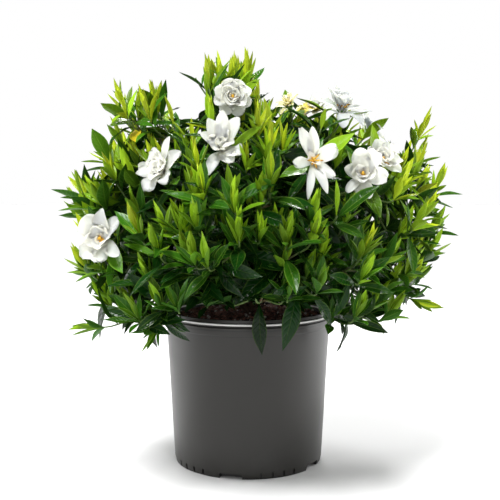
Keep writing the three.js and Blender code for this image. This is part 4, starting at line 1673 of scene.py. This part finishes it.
def leaf_to(stem, at, tip, width, age_and_shade):
    """A leaf from a place on a stem to its tip."""
    along, aside, above = stem.ways(at)
    reach = tip - stem.at(at)
    direction = unit(reach)
    turn = math.degrees(math.atan2(direction @ above, direction @ aside))
    lean = math.degrees(math.acos(direction @ along))
    length = np.linalg.norm(reach)
    return Leaf(stem, at, turn, lean, length, width, age_and_shade=age_and_shade, **SET_LEAF_FORM)


def set_leaves(shoots, twigs):
    """The leaves that are given one by one."""
    leaves = []
    for shoot, which, share, tip, width, age_and_shade in SET_LEAVES:
        stem = twigs[shoot][0] if which < 0 else shoots[shoot - 1][1][which]
        leaves.append(leaf_to(stem, share, millimetres(*tip), width * MM, age_and_shade))
    return leaves


def shaded(leaf):
    """A leaf's age with painted shade added by its place in the bush: darker inward and low in the middle,
    lighter at the sides and the top.
    """
    if leaf.age_and_shade < SPENT_AGE:
        return leaf.age_and_shade
    root, direction, _, _ = leaf_frame(leaf)
    middle = root + direction * leaf.length * LEAF_MIDDLE
    depth = np.linalg.norm((middle - SHADE_CENTRE) / SHADE_RADII)
    inward = max(INWARD_LEAST, INWARD_GAIN * (SHADE_EDGE - depth))
    inner = max(0, 1 - (middle[0] / LOW_SPAN) ** 2)
    low = max(0, LOW_HEIGHT - middle[2]) / LOW_STEP * (LOW_GAIN_ASIDE + LOW_GAIN_INNER * inner)
    high = SIDE_LOSS * (1 - inner) + HIGH_LOSS * min(1, max(0, middle[2] - HIGH_HEIGHT) / HIGH_STEP)
    if leaf.young:
        inward *= YOUNG_INWARD
        low *= YOUNG_LOW
    return min(max(leaf.age_and_shade + inward + low - high, YOUNGEST), 1.0)


def add_twigs(shoots, count, twigs, leaves, room, draw):
    """Side twigs with their tufts, where there is room for them."""
    for wood, stems in shoots:
        for stem, share in twig_places(wood, stems, count):
            twig = free_twig(stem, share, room, draw)
            if twig is None:
                continue
            twigs.append(twig)
            room.add(twig_reach(twig)[ON_TWIG])
            add_tuft(twig, draw, leaves, room)


def fill_in(shoots, twigs, leaves, room, draw):
    """Rows of leaves along the twigs, the stems, the wood below them and the limbs."""
    for twig in twigs:
        add_rows(twig, TWIG_ROWS, room, draw, leaves)
    for wood, stems in shoots:
        for stem in stems:
            add_rows(stem, SIDE_ROWS if stem.side else MAIN_ROWS, room, draw, leaves)
        add_rows(wood, WOOD_ROWS, room, draw, leaves)
    for fork in FORKS:
        add_rows(Stem(limb_line(fork), 0, shoot_on(fork)), LIMB_ROWS, room, draw, leaves)


def foliage(settings, blooms):
    """All stems, twigs and leaves."""
    shoots = [shoot_stems(index) for index in range(len(SHOOT_TIPS))]
    all_stems = [stem for _, stems in shoots for stem in stems]
    draw = Draw(FOLIAGE_SEED)
    room = Room(blooms)
    by_hand = set_twigs(shoots)
    twigs = [twig for group in by_hand.values() for twig in group]
    leaves = solid_leaves(all_stems)
    for leaf in leaves:
        finish_solid_leaf(leaf, draw)
    leaves += set_leaves(shoots, by_hand)
    for leaf in leaves:
        room.add(leaf_samples(leaf))
    for stem in [*twigs, *all_stems]:
        if not stem.bloom and not room.hides_bloom(twig_reach(stem)[FROM_TIP]):
            add_tuft(stem, draw, leaves, room)
    add_twigs(shoots, settings.twigs, twigs, leaves, room, draw)
    fill_in(shoots, twigs, leaves, room, draw)
    for leaf in leaves:
        # Painted shade: each leaf's tone is made darker or lighter by its place in the bush
        leaf.age_and_shade = shaded(leaf)
    return all_stems, twigs, leaves


# Finish of leaves and stems

# Colours beside those of the settings, the pale one serving the veins and a painted highlight along the
# edge, the side veins on each half of a leaf, and their slant
PALE_VEINS_AND_EDGE_HIGHLIGHT = (0.13, 0.20, 0.03)
DULL_GREEN = (0.03, 0.075, 0.010)
STEM_BROWN = (0.11, 0.066, 0.033)
STEM_FLECKS = (0.08, 0.10, 0.03)
SIDE_VEINS = 9.0
VEIN_SLANT = -0.16


def leaf_tone(finish, settings, age_and_shade, chance, at):
    """The green of a leaf by its age with painted shade added, lighter or darker by chance, and a little
    patchy.
    """
    colour = finish.ramp(age_and_shade, [
        (0.0, settings.spent), (0.08, settings.young), (0.34, settings.fresh),
        (0.62, settings.mature), (1.0, settings.old),
    ])
    colour = finish.brightened(colour, finish.math("MULTIPLY_ADD", chance, 0.9, 0.55))
    cloud = finish.noise(90.0, 3.0, 0.6, at)
    return finish.brightened(colour, finish.math("MULTIPLY_ADD", cloud, 0.5, 0.75))


def leaf_lines(finish, side, along):
    """The midrib and the slanting side veins of a leaf, each 1 at its middle."""
    midrib = finish.band(side, 0.015, 0.075, 1.0, 0.0)
    slant = finish.math("MULTIPLY_ADD", side, VEIN_SLANT, along)
    beat = finish.math("FRACT", finish.math("MULTIPLY", slant, SIDE_VEINS))
    off_vein = finish.math("ABSOLUTE", finish.math("SUBTRACT", beat, 0.5))
    return midrib, finish.band(off_vein, 0.05, 0.2, 1.0, 0.0)


def leaf_green(settings):
    """A glossy leaf: colour by its age with painted shade, a pale midrib, a painted highlight along its
    edge, side veins pressed in, and a dull pale underside.
    """
    finish = Finish("leaf_green")
    at = finish.position()
    age_and_shade, chance, under = finish.tone()
    across, along, _ = finish.split(finish.way())
    side = finish.off_midrib(across)
    # Painted shade comes in with the age tone: darker deeper in the bush, lighter at its sides and top
    colour = leaf_tone(finish, settings, age_and_shade, chance, at)
    midrib, vein = leaf_lines(finish, side, along)
    faint = finish.math("MULTIPLY", vein, 0.06)
    lines = finish.math("MAXIMUM", finish.math("MULTIPLY", midrib, 0.6), faint)
    # Painted highlight: a pale line along the leaf's edge, strongest on young leaves
    painted_edge_highlight = finish.math("MULTIPLY", finish.band(side, 0.8, 1.0, 0.0, 0.75), finish.band(along, 0.12, 0.3))
    lines = finish.math("MAXIMUM", lines, painted_edge_highlight)
    lines = finish.math("MULTIPLY", lines, finish.band(age_and_shade, 0.4, 0.85, 1.0, 0.22))
    colour = finish.mix(lines, colour, finish.mix(1.0, colour, PALE_VEINS_AND_EDGE_HIGHLIGHT, "ADD"))
    dull = finish.mix(finish.band(age_and_shade, 0.2, 0.6, 0.05, 0.25), colour, DULL_GREEN)
    colour = finish.mix(under, colour, dull)
    pressed = finish.math("MAXIMUM", midrib, finish.math("MULTIPLY", vein, 0.6))
    pressed = finish.math("MULTIPLY", pressed, -1.0)
    swell = finish.noise(150.0, 2.0, 0.5, at)
    relief = finish.math("ADD", pressed, finish.math("MULTIPLY", swell, 1.6))
    rough = finish.math("ADD", finish.band(age_and_shade, 0.1, 0.7, 0.28, 0.14), finish.math("MULTIPLY", under, 0.3))
    finish.set(Base_Color=colour, Roughness=rough, Normal=finish.bump(relief, 0.55, 0.0008),
               Specular_IOR_Level=0.16)
    return finish.material


def stem_green(settings):
    """A young stem: green at its tip and brown towards the wood."""
    finish = Finish("stem_green")
    _, along, _ = finish.split(finish.way())
    grain = finish.noise(1.0, 3.0, 0.6, finish.stretched(finish.position(), (600, 600, 160)))
    colour = finish.mix(finish.band(along, 0.0, 0.5), STEM_BROWN, settings.stem)
    colour = finish.mix(finish.band(grain, 0.4, 0.7, 0.0, 0.4), colour, STEM_FLECKS)
    finish.set(Base_Color=colour, Roughness=0.5, Normal=finish.bump(grain, 0.4, 0.0006))
    return finish.material


# Blooms

@dataclass
class Petal:
    """One petal: turned round the bloom as it is looked at (0 right, 90 up), leaned out, and its form."""

    turn: float
    lean: float
    reach: float
    width: float
    tip: str = "round"
    curl: float = 12.0
    cup: float = 0.22
    twist: float = 0.0
    tone: float = 0.0
    root: float = 2.0


# Width of a petal along its length, teeth and waves, for each kind of tip: power, blunting, teeth, wave
TIPS = {
    "round": (1.45, 0.52, 0.015, 0.11),
    "point": (1.15, 0.72, 0.0, 0.08),
    "frill": (1.8, 0.42, 0.07, 0.18),
}

# Outer petals of each bloom: turn, lean, reach, width in degrees and millimetres, and the kind of tip
OUTER_PETALS = [
    [(128, 62, 43, 32, "round"), (80, 62, 48, 26, "point"), (36, 66, 48, 24, "round"),
     (-35, 84, 46, 19, "round"), (-84, 88, 34, 25, "frill"), (-128, 82, 38, 25, "frill"),
     (172, 72, 39, 29, "round")],
    [(68, 70, 50, 16, "point"), (22, 80, 48, 21, "frill"), (-32, 86, 42, 20, "frill"),
     (-98, 82, 37, 24, "frill"), (188, 76, 38, 24, "frill"), (135, 70, 38, 24, "frill")],
    [(124, 55, 46, 20, "point"), (90, 52, 52, 19, "point"), (54, 58, 48, 22, "point"),
     (-35, 80, 36, 22, "frill"), (-64, 88, 35, 20, "frill"), (-107, 104, 50, 15, "round"),
     (166, 58, 38, 18, "point")],
    [(20, 76, 31, 24, "round"), (65, 76, 30, 24, "round"), (110, 74, 31, 23, "round"),
     (155, 76, 31, 23, "round"), (200, 80, 30, 23, "round"), (245, 84, 30, 23, "round"),
     (290, 86, 32, 20, "frill"), (335, 80, 30, 23, "round")],
    [(116, 70, 48, 15, "frill"), (93, 74, 46, 15, "point"), (24, 78, 36, 21, "frill"),
     (-46, 82, 37, 14, "frill"), (-74, 84, 53, 13, "point"), (-101, 92, 56, 10, "point"),
     (193, 80, 29, 14, "frill")],
    [(165, 74, 29, 20, "point"), (98, 64, 39, 24, "round"), (56, 68, 38, 23, "frill"),
     (-14, 76, 35, 22, "frill"), (-77, 88, 38, 15, "round"), (-106, 92, 30, 14, "point"),
     (-130, 84, 36, 13, "round")],
    [(100, 66, 34, 22, "round"), (46, 70, 34, 22, "frill"), (-8, 74, 32, 21, "frill"),
     (-44, 84, 33, 16, "round"), (205, 76, 27, 19, "round"), (152, 70, 30, 20, "frill")],
    [(222, 120, 46, 17, "round"), (262, 128, 50, 18, "round"), (304, 124, 48, 17, "point"),
     (345, 98, 40, 19, "round"), (20, 62, 38, 18, "point"), (62, 44, 40, 18, "point"),
     (100, 40, 42, 17, "point"), (138, 46, 40, 18, "point"), (176, 76, 38, 18, "point")],
    [(180, 100, 36, 18, "round"), (232, 126, 40, 18, "round"), (286, 128, 40, 18, "point"),
     (346, 96, 36, 19, "round"), (40, 56, 31, 19, "round"), (100, 48, 32, 19, "frill")],
    [(170, 96, 25, 9, "point"), (216, 84, 22, 9, "point"), (262, 104, 25, 9, "round"),
     (320, 74, 22, 8, "point"), (30, 58, 24, 10, "point"), (90, 56, 22, 9, "point"),
     (132, 66, 22, 9, "point")],
    [(180, 74, 31, 18, "round"), (232, 100, 33, 18, "round"), (290, 98, 34, 17, "round"),
     (340, 84, 31, 17, "round"), (52, 60, 30, 18, "round"), (118, 56, 31, 19, "point")],
]

# Rings of inner petals for each bloom: how many, lean, reach and width
INNER_RINGS = [
    [(5, 54, 27, 21), (3, 42, 15, 12)],
    [(5, 54, 27, 19), (5, 34, 20, 15), (3, 14, 14, 11)],
    [(4, 44, 29, 19), (4, 24, 20, 14), (3, 10, 14, 10)],
    [(6, 58, 26, 21), (5, 40, 20, 16), (4, 20, 14, 11)],
    [(2, 40, 18, 11)],
    [(5, 50, 29, 20), (4, 30, 20, 15)],
    [(5, 52, 26, 19), (4, 30, 18, 14)],
    [(6, 34, 34, 15), (5, 18, 25, 13)],
    [(5, 50, 21, 15), (4, 26, 15, 12)],
    [(4, 34, 18, 8), (3, 14, 15, 7)],
    [(5, 46, 19, 13), (4, 22, 14, 10)],
]

# How far each bloom is past its best, from 0 to 1, and how much painted shade in cool grey its petals have,
# from 0 to -1
FADE_AND_SHADE = [0.08, 0.08, 0.05, 0.06, 0.02, 0.0, 0.0, -0.55, -0.95, 0.95, -0.3]

# Spent petals: the bloom's number, and the petal's turn, lean, reach and width
SPENT_PETALS = [(11, 205, 66, 36, 24), (11, 248, 60, 34, 22)]
SPENT_TONE = 2.0

# Which blooms show their stamens, counted from 0, and how far leaves keep clear of each
WITH_HEART = (0, 3, 4, 5, 6, 7)
CLEAR_REACH = (31, 29, 29, 32, 44, 33, 31, 40, 30, 27, 34)

# How a petal is shaped: rows of points closer towards its tip, how early it leans out, its narrow root,
# and the waves and teeth of its edge
PETAL_COLUMNS = tuple(np.linspace(-1, 1, 9))
PETAL_ROWS = 13
PETAL_PATCH = blade_patch(PETAL_ROWS, PETAL_COLUMNS)
PETAL_CROWDING = 1.35
PETAL_OPENING = 0.7
PETAL_ROOT_LEAN = 0.42
PETAL_CLAW = 0.16
PETAL_WAVES = 1.4
PETAL_WAVE_ACROSS = 2.2
PETAL_WAVE_GAIN = 2.4
PETAL_TEETH = 9
PETAL_TEETH_SHIFT = 40
PETAL_FADE_SPREAD = 0.03
BLOOM_SEED_STEP = 31

# How the petals of a kind differ, in degrees or as shares
OUTER_CURL = 10
OUTER_CURL_SPREAD = 8
OUTER_TWIST_SPREAD = 12
SPENT_CURL = 72
SPENT_CUP = 0.35
INNER_TURN_SPREAD = 14
INNER_LEAN_SPREAD = 7
INNER_SIZE_SPREAD = 0.12
INNER_ROUND_SHARE = 0.7
INNER_CURLS = (-6, 22)
INNER_CUPS = (0.3, 0.55)
INNER_TWIST = 14
INNER_TWIST_SPREAD = 8
INNER_ROOT = 3.0
INNER_ROOT_STEP = 1.6

# The core that the petals grow from, and the green cup under it
CORE_HEIGHTS = millimetres(0, 3, 6, 9)
CORE_RADII = millimetres(1.9, 3.0, 3.2, 2.2)
CORE_SIDES = 12
CORE_FADE = 0.3
CALYX_DROPS = millimetres(9, 6, 3, 0.2)
CALYX_RADII = millimetres(1.4, 2.4, 3.2, 2.9)
CALYX_LOBES = 6
CALYX_TURN = 20
CALYX_LOBE = {"lean": 52, "reach": 14, "width": 3.6, "tip": "point", "curl": -10, "root": -2.0}
CALYX_TONE = (0.34, 0.6)
CALYX_CHANCE = 0.3


def bloom_frame(index):
    """The bloom's base, the way that it faces, and its right and its top as it is looked at."""
    _, stems = shoot_stems(index)
    axis = stems[0].tangent(1)
    right = unit(np.cross(UP, axis))
    return stems[0].at(1) + axis * GAP, axis, right, np.cross(axis, right)


def petal_line(bloom, petal, t):
    """The middle line of a petal, and the ways along it, across it and out of its inner face."""
    base, axis, right, top = bloom
    outward = turned(right, top, math.radians(petal.turn))
    opened = PETAL_ROOT_LEAN + (1 - PETAL_ROOT_LEAN) * t ** PETAL_OPENING
    lean = np.radians(petal.lean * opened + petal.curl * t ** 2)[:, None]
    direction = np.cos(lean) * axis + np.sin(lean) * outward
    normal = np.sin(lean) * axis - np.cos(lean) * outward
    side = np.cross(direction, normal)
    steps = np.diff(t)[:, None] * (direction[1:] + direction[:-1]) / 2
    run = np.concatenate([[np.zeros(3)], np.cumsum(steps, axis=0)])
    spine = base + axis * petal.root * MM + petal.reach * MM * run
    twist = (np.radians(petal.twist) * t)[:, None]
    across = np.cos(twist) * side + np.sin(twist) * normal
    return spine, direction, across, np.cos(twist) * normal - np.sin(twist) * side


def petal_points(bloom, petal, chance, thickness):
    """The points of a petal's upper and lower sheets and of its tip."""
    power, blunting, teeth, wave = TIPS[petal.tip]
    t = 1 - (1 - np.linspace(0, 1, PETAL_ROWS + 1)) ** PETAL_CROWDING
    spine, direction, side, normal = petal_line(bloom, petal, t)
    t = t[:, None]
    u = np.array(PETAL_COLUMNS)[None, :]
    outline = np.sin(np.pi * t ** power) ** blunting
    half = petal.width * MM / 2 * np.maximum(outline, PETAL_CLAW * (1 - t))
    ripple = np.sin(FULL_TURN * (PETAL_WAVES * t + chance) + PETAL_WAVE_ACROSS * u)
    rise = half * (petal.cup * u ** 2 + PETAL_WAVE_GAIN * wave * ripple * np.abs(u) * t)
    toothed = np.sin(u * PETAL_TEETH + PETAL_TEETH_SHIFT * chance) * t ** 4
    slide = petal.reach * MM * teeth * toothed
    upper = (spine[:, None] + side[:, None] * (half * u)[..., None] + normal[:, None] * rise[..., None]
             + direction[:, None] * slide[..., None])
    return blade_points(upper, normal, thickness * np.sqrt(1 - u[0, 1:-1] ** 2), spine[-1:])


def petals_of(index, draw):
    """All petals of one bloom, from the outermost in."""
    petals = [
        Petal(
            *outer, curl=OUTER_CURL + draw.spread(OUTER_CURL_SPREAD),
            twist=draw.spread(OUTER_TWIST_SPREAD), tone=FADE_AND_SHADE[index],
        )
        for outer in OUTER_PETALS[index]
    ]
    petals += [
        Petal(*spent, "frill", curl=SPENT_CURL, cup=SPENT_CUP, tone=SPENT_TONE)
        for number, *spent in SPENT_PETALS if number == index + 1
    ]
    for ring, (count, lean, reach, width) in enumerate(INNER_RINGS[index]):
        start = draw() * 360
        for k in range(count):
            petals.append(Petal(
                turn=start + 360 * k / count + draw.spread(INNER_TURN_SPREAD),
                lean=lean + draw.spread(INNER_LEAN_SPREAD),
                reach=reach * (1 + draw.spread(INNER_SIZE_SPREAD)),
                width=width * (1 + draw.spread(INNER_SIZE_SPREAD)),
                tip="round" if draw() < INNER_ROUND_SHARE else "frill",
                curl=draw.between(*INNER_CURLS), cup=draw.between(*INNER_CUPS),
                twist=INNER_TWIST + draw.spread(INNER_TWIST_SPREAD),
                tone=FADE_AND_SHADE[index], root=INNER_ROOT + INNER_ROOT_STEP * ring,
            ))
    return petals


def bloom_growth(index, settings):
    """The petals of one bloom, and the core that they grow from."""
    growth, draw = Growth(), Draw(FOLIAGE_SEED + BLOOM_SEED_STEP * index)
    bloom = bloom_frame(index)
    base, axis, _, _ = bloom
    path = [base + axis * height for height in CORE_HEIGHTS]
    core = tube_patch(len(path), CORE_SIDES)
    growth.add(core, tube_points(path, CORE_RADII, CORE_SIDES), tone=(FADE_AND_SHADE[index] + CORE_FADE, 0.5))
    for petal in petals_of(index, draw):
        chance = draw()
        tone = (petal.tone + draw.spread(PETAL_FADE_SPREAD), chance)
        growth.add(PETAL_PATCH, petal_points(bloom, petal, chance, settings.thickness), tone=tone)
    return growth


def add_calyx(growth, index, thickness):
    """The green cup under a bloom, with its narrow lobes."""
    bloom = bloom_frame(index)
    base, axis, _, _ = bloom
    path = [base - axis * drop for drop in CALYX_DROPS]
    cup = tube_patch(len(path), STEM_SIDES)
    growth.add(cup, tube_points(path, CALYX_RADII, STEM_SIDES), finish=1)
    for k in range(CALYX_LOBES):
        turn = 360 * k / CALYX_LOBES + CALYX_TURN
        lobe = petal_points(bloom, Petal(turn, **CALYX_LOBE), CALYX_CHANCE, thickness)
        growth.add(PETAL_PATCH, lobe, tone=CALYX_TONE)


def petal_white(settings):
    """A waxy white petal: creamy towards its root, with fine lines along it, and painted shade in cool grey
    where its bloom's tone is below 0.
    """
    finish = Finish("petal_white")
    way = finish.way()
    across, along, _ = finish.split(way)
    fade_and_shade, _, _ = finish.tone()
    cloud = finish.noise(70.0, 3.0, 0.6, finish.position())
    lines = finish.noise(1.0, 2.0, 0.5, finish.stretched(way, (26, 1.6, 1)))
    root = finish.band(along, 0.0, 0.34, 0.75, 0.0)
    colour = finish.mix(root, settings.petal, settings.throat)
    rim = finish.band(finish.off_midrib(across), 0.84, 1.0, 0.0, 0.5)
    rim = finish.math("MAXIMUM", rim, finish.band(along, 0.93, 1.0, 0.0, 0.45))
    rim = finish.math("ADD", rim, finish.band(lines, 0.5, 0.72, 0.0, 0.22))
    colour = finish.mix(rim, colour, settings.edge)
    worn = finish.math("MULTIPLY", fade_and_shade, finish.band(cloud, 0.25, 0.6, 0.4, 1.3))
    colour = finish.mix(finish.band(worn, 0.0, 1.0), colour, settings.faded)
    # Painted shade: cool grey mixed in as the tone falls below 0
    colour = finish.mix(finish.band(fade_and_shade, -1.0, 0.0, 1.0, 0.0), colour, settings.painted_shade_grey)
    colour = finish.mix(finish.band(fade_and_shade, 1.3, 1.8), colour, settings.spent)
    finish.set(Base_Color=colour, Roughness=0.52, Normal=finish.bump(lines, 0.28, 0.0006),
               Subsurface_Weight=0.9, Subsurface_Radius=(1.0, 0.95, 0.8), Subsurface_Scale=0.006)
    return finish.material


# Stamens and stigma

HEART_SEED_STEP = 7
HEART_LIFT = 9 * MM
STIGMA_PATH = millimetres(0, 3, 6, 8.5, 10)
STIGMA_RADII = millimetres(1.0, 1.2, 1.9, 1.7, 0.5)
STIGMA_SIDES = 10
ANTHERS = 6
ANTHER_SIDES = 6
ANTHER_RADII = millimetres(0.5, 0.7, 1.1, 1.3, 1.1, 0.4)
ANTHER_ROOT = 0.5 * MM
ANTHER_REACHES = (7.5, 12)
ANTHER_LIFTS = (2, 6)
ANTHER_TURN_SPREAD = 0.25
ANTHER_BEND = 0.4


def heart_growth(index):
    """The stigma of a bloom, with its stamens lying round it."""
    growth = Growth()
    base, axis, right, top = bloom_frame(index)
    foot = base + axis * (HEART_LIFT + GAP)
    path = [foot + axis * height for height in STIGMA_PATH]
    stigma = tube_patch(len(path), STIGMA_SIDES)
    growth.add(stigma, tube_points(path, STIGMA_RADII, STIGMA_SIDES), tone=(0.2, 0.5))
    rings = len(ANTHER_RADII)
    anther = tube_patch(rings, ANTHER_SIDES)
    draw = Draw(FOLIAGE_SEED + HEART_SEED_STEP * index)
    for k in range(ANTHERS):
        outward = turned(right, top, FULL_TURN * (k + draw.spread(ANTHER_TURN_SPREAD)) / ANTHERS)
        reach = draw.between(*ANTHER_REACHES) * MM
        lift = axis * draw.between(*ANTHER_LIFTS) * MM
        bend = foot + lift + outward * reach * ANTHER_BEND
        line = Curve(foot + axis * ANTHER_ROOT, bend, foot + outward * reach + lift)
        path = [line.at(t) for t in np.linspace(0, 1, rings)]
        growth.add(anther, tube_points(path, ANTHER_RADII, ANTHER_SIDES), tone=(1.0, draw()))
    return growth


def stamen_gold(settings):
    """Golden stamens, browner towards the tips."""
    finish = Finish("stamen_gold")
    _, along, _ = finish.split(finish.way())
    anther, _, _ = finish.tone()
    dust = finish.noise(1500.0, 3.0, 0.6, finish.position())
    tip = finish.math("MULTIPLY", finish.band(along, 0.5, 1.0, 0.0, 0.8), anther)
    colour = finish.mix(tip, settings.stamen, settings.stamen_tip)
    finish.set(Base_Color=colour, Roughness=0.7, Normal=finish.bump(dust, 0.6, 0.0005))
    return finish.material


def bloom_places():
    """Base, facing and reach of each bloom, for the leaves to keep clear of."""
    places = []
    for index, reach in enumerate(CLEAR_REACH):
        base, axis, _, _ = bloom_frame(index)
        places.append((base, axis, reach * MM))
    return places


class GARDENIA_OT_foliage(bpy.types.Operator):
    """Add the leafy stems with their leaves, twigs and folded tips"""

    bl_idname = "gardenia.add_foliage"
    bl_label = "Leafy stems"

    def execute(self, context):
        settings = context.scene.gardenia.leaf
        materials = [leaf_green(settings), stem_green(settings)]
        all_stems, twigs, leaves = foliage(settings, bloom_places())
        growths = [Growth() for _ in SHOOT_TIPS]
        for stem in all_stems:
            add_stem(growths[stem.plan], stem, (STEM_START_RADIUS, STEM_TIP_RADIUS))
        for twig in twigs:
            add_stem(growths[twig.plan], twig, (TWIG_START_RADIUS, TWIG_TIP_RADIUS))
        for leaf in leaves:
            add_leaf(growths[leaf.stem.plan], leaf, settings.thickness)
        for index in range(len(BLOOM_FACES)):
            add_calyx(growths[index], index, settings.thickness)
        for index, growth in enumerate(growths):
            name = numbered("leafy_stem", index)
            placed(name, growth.mesh(name, materials), "leaf", numbered("shoot", index))
        return {"FINISHED"}


class GARDENIA_OT_blooms(bpy.types.Operator):
    """Add the white blooms, each with its own petals"""

    bl_idname = "gardenia.add_blooms"
    bl_label = "Blooms"

    def execute(self, context):
        settings = context.scene.gardenia.bloom
        white = petal_white(settings)
        gold = stamen_gold(settings)
        for index in range(len(BLOOM_FACES)):
            name = numbered("petals", index)
            mesh = bloom_growth(index, settings).mesh(name, [white])
            placed(name, mesh, "petal", numbered("bloom", index))
        for index in WITH_HEART:
            name = numbered("stamens", index)
            mesh = heart_growth(index).mesh(name, [gold])
            placed(name, mesh, "stamen", numbered("heart", index))
        return {"FINISHED"}


# Stage

FLOOR_SIDES = 96
FLOOR_DROP = 0.2 * MM
KEY_FROM = (-0.26, -0.32, 1.0)
KEY_ANGLE = 22
WALL_FADE = (0.19, 0.26)
SENSOR_WIDTH = 36


def soft_box(name, place, target, size, power):
    """A soft rectangular lamp that stands at a place and is aimed at a target."""
    light = bpy.data.lights.new(name, "AREA")
    light.shape = "RECTANGLE"
    light.size, light.size_y = size
    light.energy = power
    lamp = linked(name, light)
    lamp.location = place
    lamp.rotation_euler = (Vector(target) - Vector(place)).to_track_quat("-Z", "Y").to_euler()


class GARDENIA_OT_stage(bpy.types.Operator):
    """Add the plain pale floor, the soft studio lights and the camera"""

    bl_idname = "gardenia.add_stage"
    bl_label = "Stage"

    def execute(self, context):
        settings = context.scene.gardenia.stage
        self.add_floor(settings)
        self.add_lights(settings)
        self.add_camera(context, settings)
        return {"FINISHED"}

    def add_floor(self, settings):
        body = bmesh.new()
        bmesh.ops.create_circle(body, cap_ends=True, segments=FLOOR_SIDES, radius=settings.floor_radius)
        mesh = mesh_of("floor", body)
        finish = Finish("floor_white")
        finish.set(Base_Color=(*settings.floor, 1), Roughness=0.7)
        mesh.materials.append(finish.material)
        floor = linked("floor", mesh)
        floor.location.z = -FLOOR_DROP

    def add_lights(self, settings):
        self.add_walls(settings)
        key = bpy.data.lights.new("key", "SUN")
        key.energy = settings.key_light
        key.angle = math.radians(KEY_ANGLE)
        linked("key", key).rotation_euler = Vector(KEY_FROM).to_track_quat("Z", "Y").to_euler()
        soft_box("left_box", (-1.5, 0.35, 0.5), (0, 0, 0.25), (0.7, 1.5), settings.side_light)
        soft_box("right_box", (1.5, 0.35, 0.5), (0, 0, 0.25), (0.7, 1.5), settings.side_light)
        soft_box("fill_box", (-0.3, -2.4, 1.3), (0, 0, 0.35), (3.2, 2.0), settings.fill_light)
        soft_box("rim_box", (0.25, 1.25, 1.7), (0, 0, 0.4), (0.5, 0.5), settings.rim_light)

    def add_walls(self, settings):
        """White near the horizon and dim above it, so that most of the light comes from the lamps."""
        world = bpy.data.worlds.new("studio")
        world.use_nodes = True
        tree = world.node_tree
        way = tree.nodes.new("ShaderNodeTexCoord")
        split = tree.nodes.new("ShaderNodeSeparateXYZ")
        fall = tree.nodes.new("ShaderNodeMapRange")
        fall.interpolation_type = "SMOOTHSTEP"
        fall.inputs["From Min"].default_value, fall.inputs["From Max"].default_value = WALL_FADE
        fall.inputs["To Min"].default_value = settings.walls
        fall.inputs["To Max"].default_value = settings.ceiling
        tree.links.new(way.outputs["Generated"], split.inputs[0])
        tree.links.new(split.outputs["Z"], fall.inputs["Value"])
        tree.links.new(fall.outputs["Result"], tree.nodes["Background"].inputs["Strength"])
        tree.nodes["Background"].inputs["Color"].default_value = (1, 1, 1, 1)
        bpy.context.scene.world = world

    def add_camera(self, context, settings):
        data = bpy.data.cameras.new("camera")
        data.lens = settings.lens
        data.sensor_width = SENSOR_WIDTH
        camera = linked("camera", data)
        camera.location = CAMERA_PLACE
        camera.rotation_euler = (math.pi / 2 - CAMERA_PITCH, 0, 0)
        context.scene.camera = camera
        context.scene.view_settings.view_transform = "Standard"


# Panel and registration

class GARDENIA_PT_panel(bpy.types.Panel):
    """Lists what builds the potted gardenia"""

    bl_idname = "GARDENIA_PT_panel"
    bl_label = "Potted Gardenia"
    bl_space_type = "VIEW_3D"
    bl_region_type = "UI"
    bl_category = "Gardenia"

    def draw(self, context):
        for operator in OPERATORS:
            self.layout.operator(operator.bl_idname)


SETTINGS = (
    GardeniaPotSettings, GardeniaSoilSettings, GardeniaWoodSettings, GardeniaLeafSettings,
    GardeniaBloomSettings, GardeniaStageSettings, GardeniaSettings,
)
OPERATORS = (
    GARDENIA_OT_stage, GARDENIA_OT_pot, GARDENIA_OT_soil, GARDENIA_OT_wood, GARDENIA_OT_foliage,
    GARDENIA_OT_blooms,
)


def register():
    for kind in (*SETTINGS, *OPERATORS, GARDENIA_PT_panel):
        bpy.utils.register_class(kind)
    bpy.types.Scene.gardenia = bpy.props.PointerProperty(type=GardeniaSettings)


def unregister():
    del bpy.types.Scene.gardenia
    for kind in reversed((*SETTINGS, *OPERATORS, GARDENIA_PT_panel)):
        bpy.utils.unregister_class(kind)


def main():
    register()
    bpy.ops.gardenia.add_stage()
    bpy.ops.gardenia.add_pot()
    bpy.ops.gardenia.add_soil()
    bpy.ops.gardenia.add_wood()
    bpy.ops.gardenia.add_foliage()
    bpy.ops.gardenia.add_blooms()


if __name__ == "__main__":
    main()
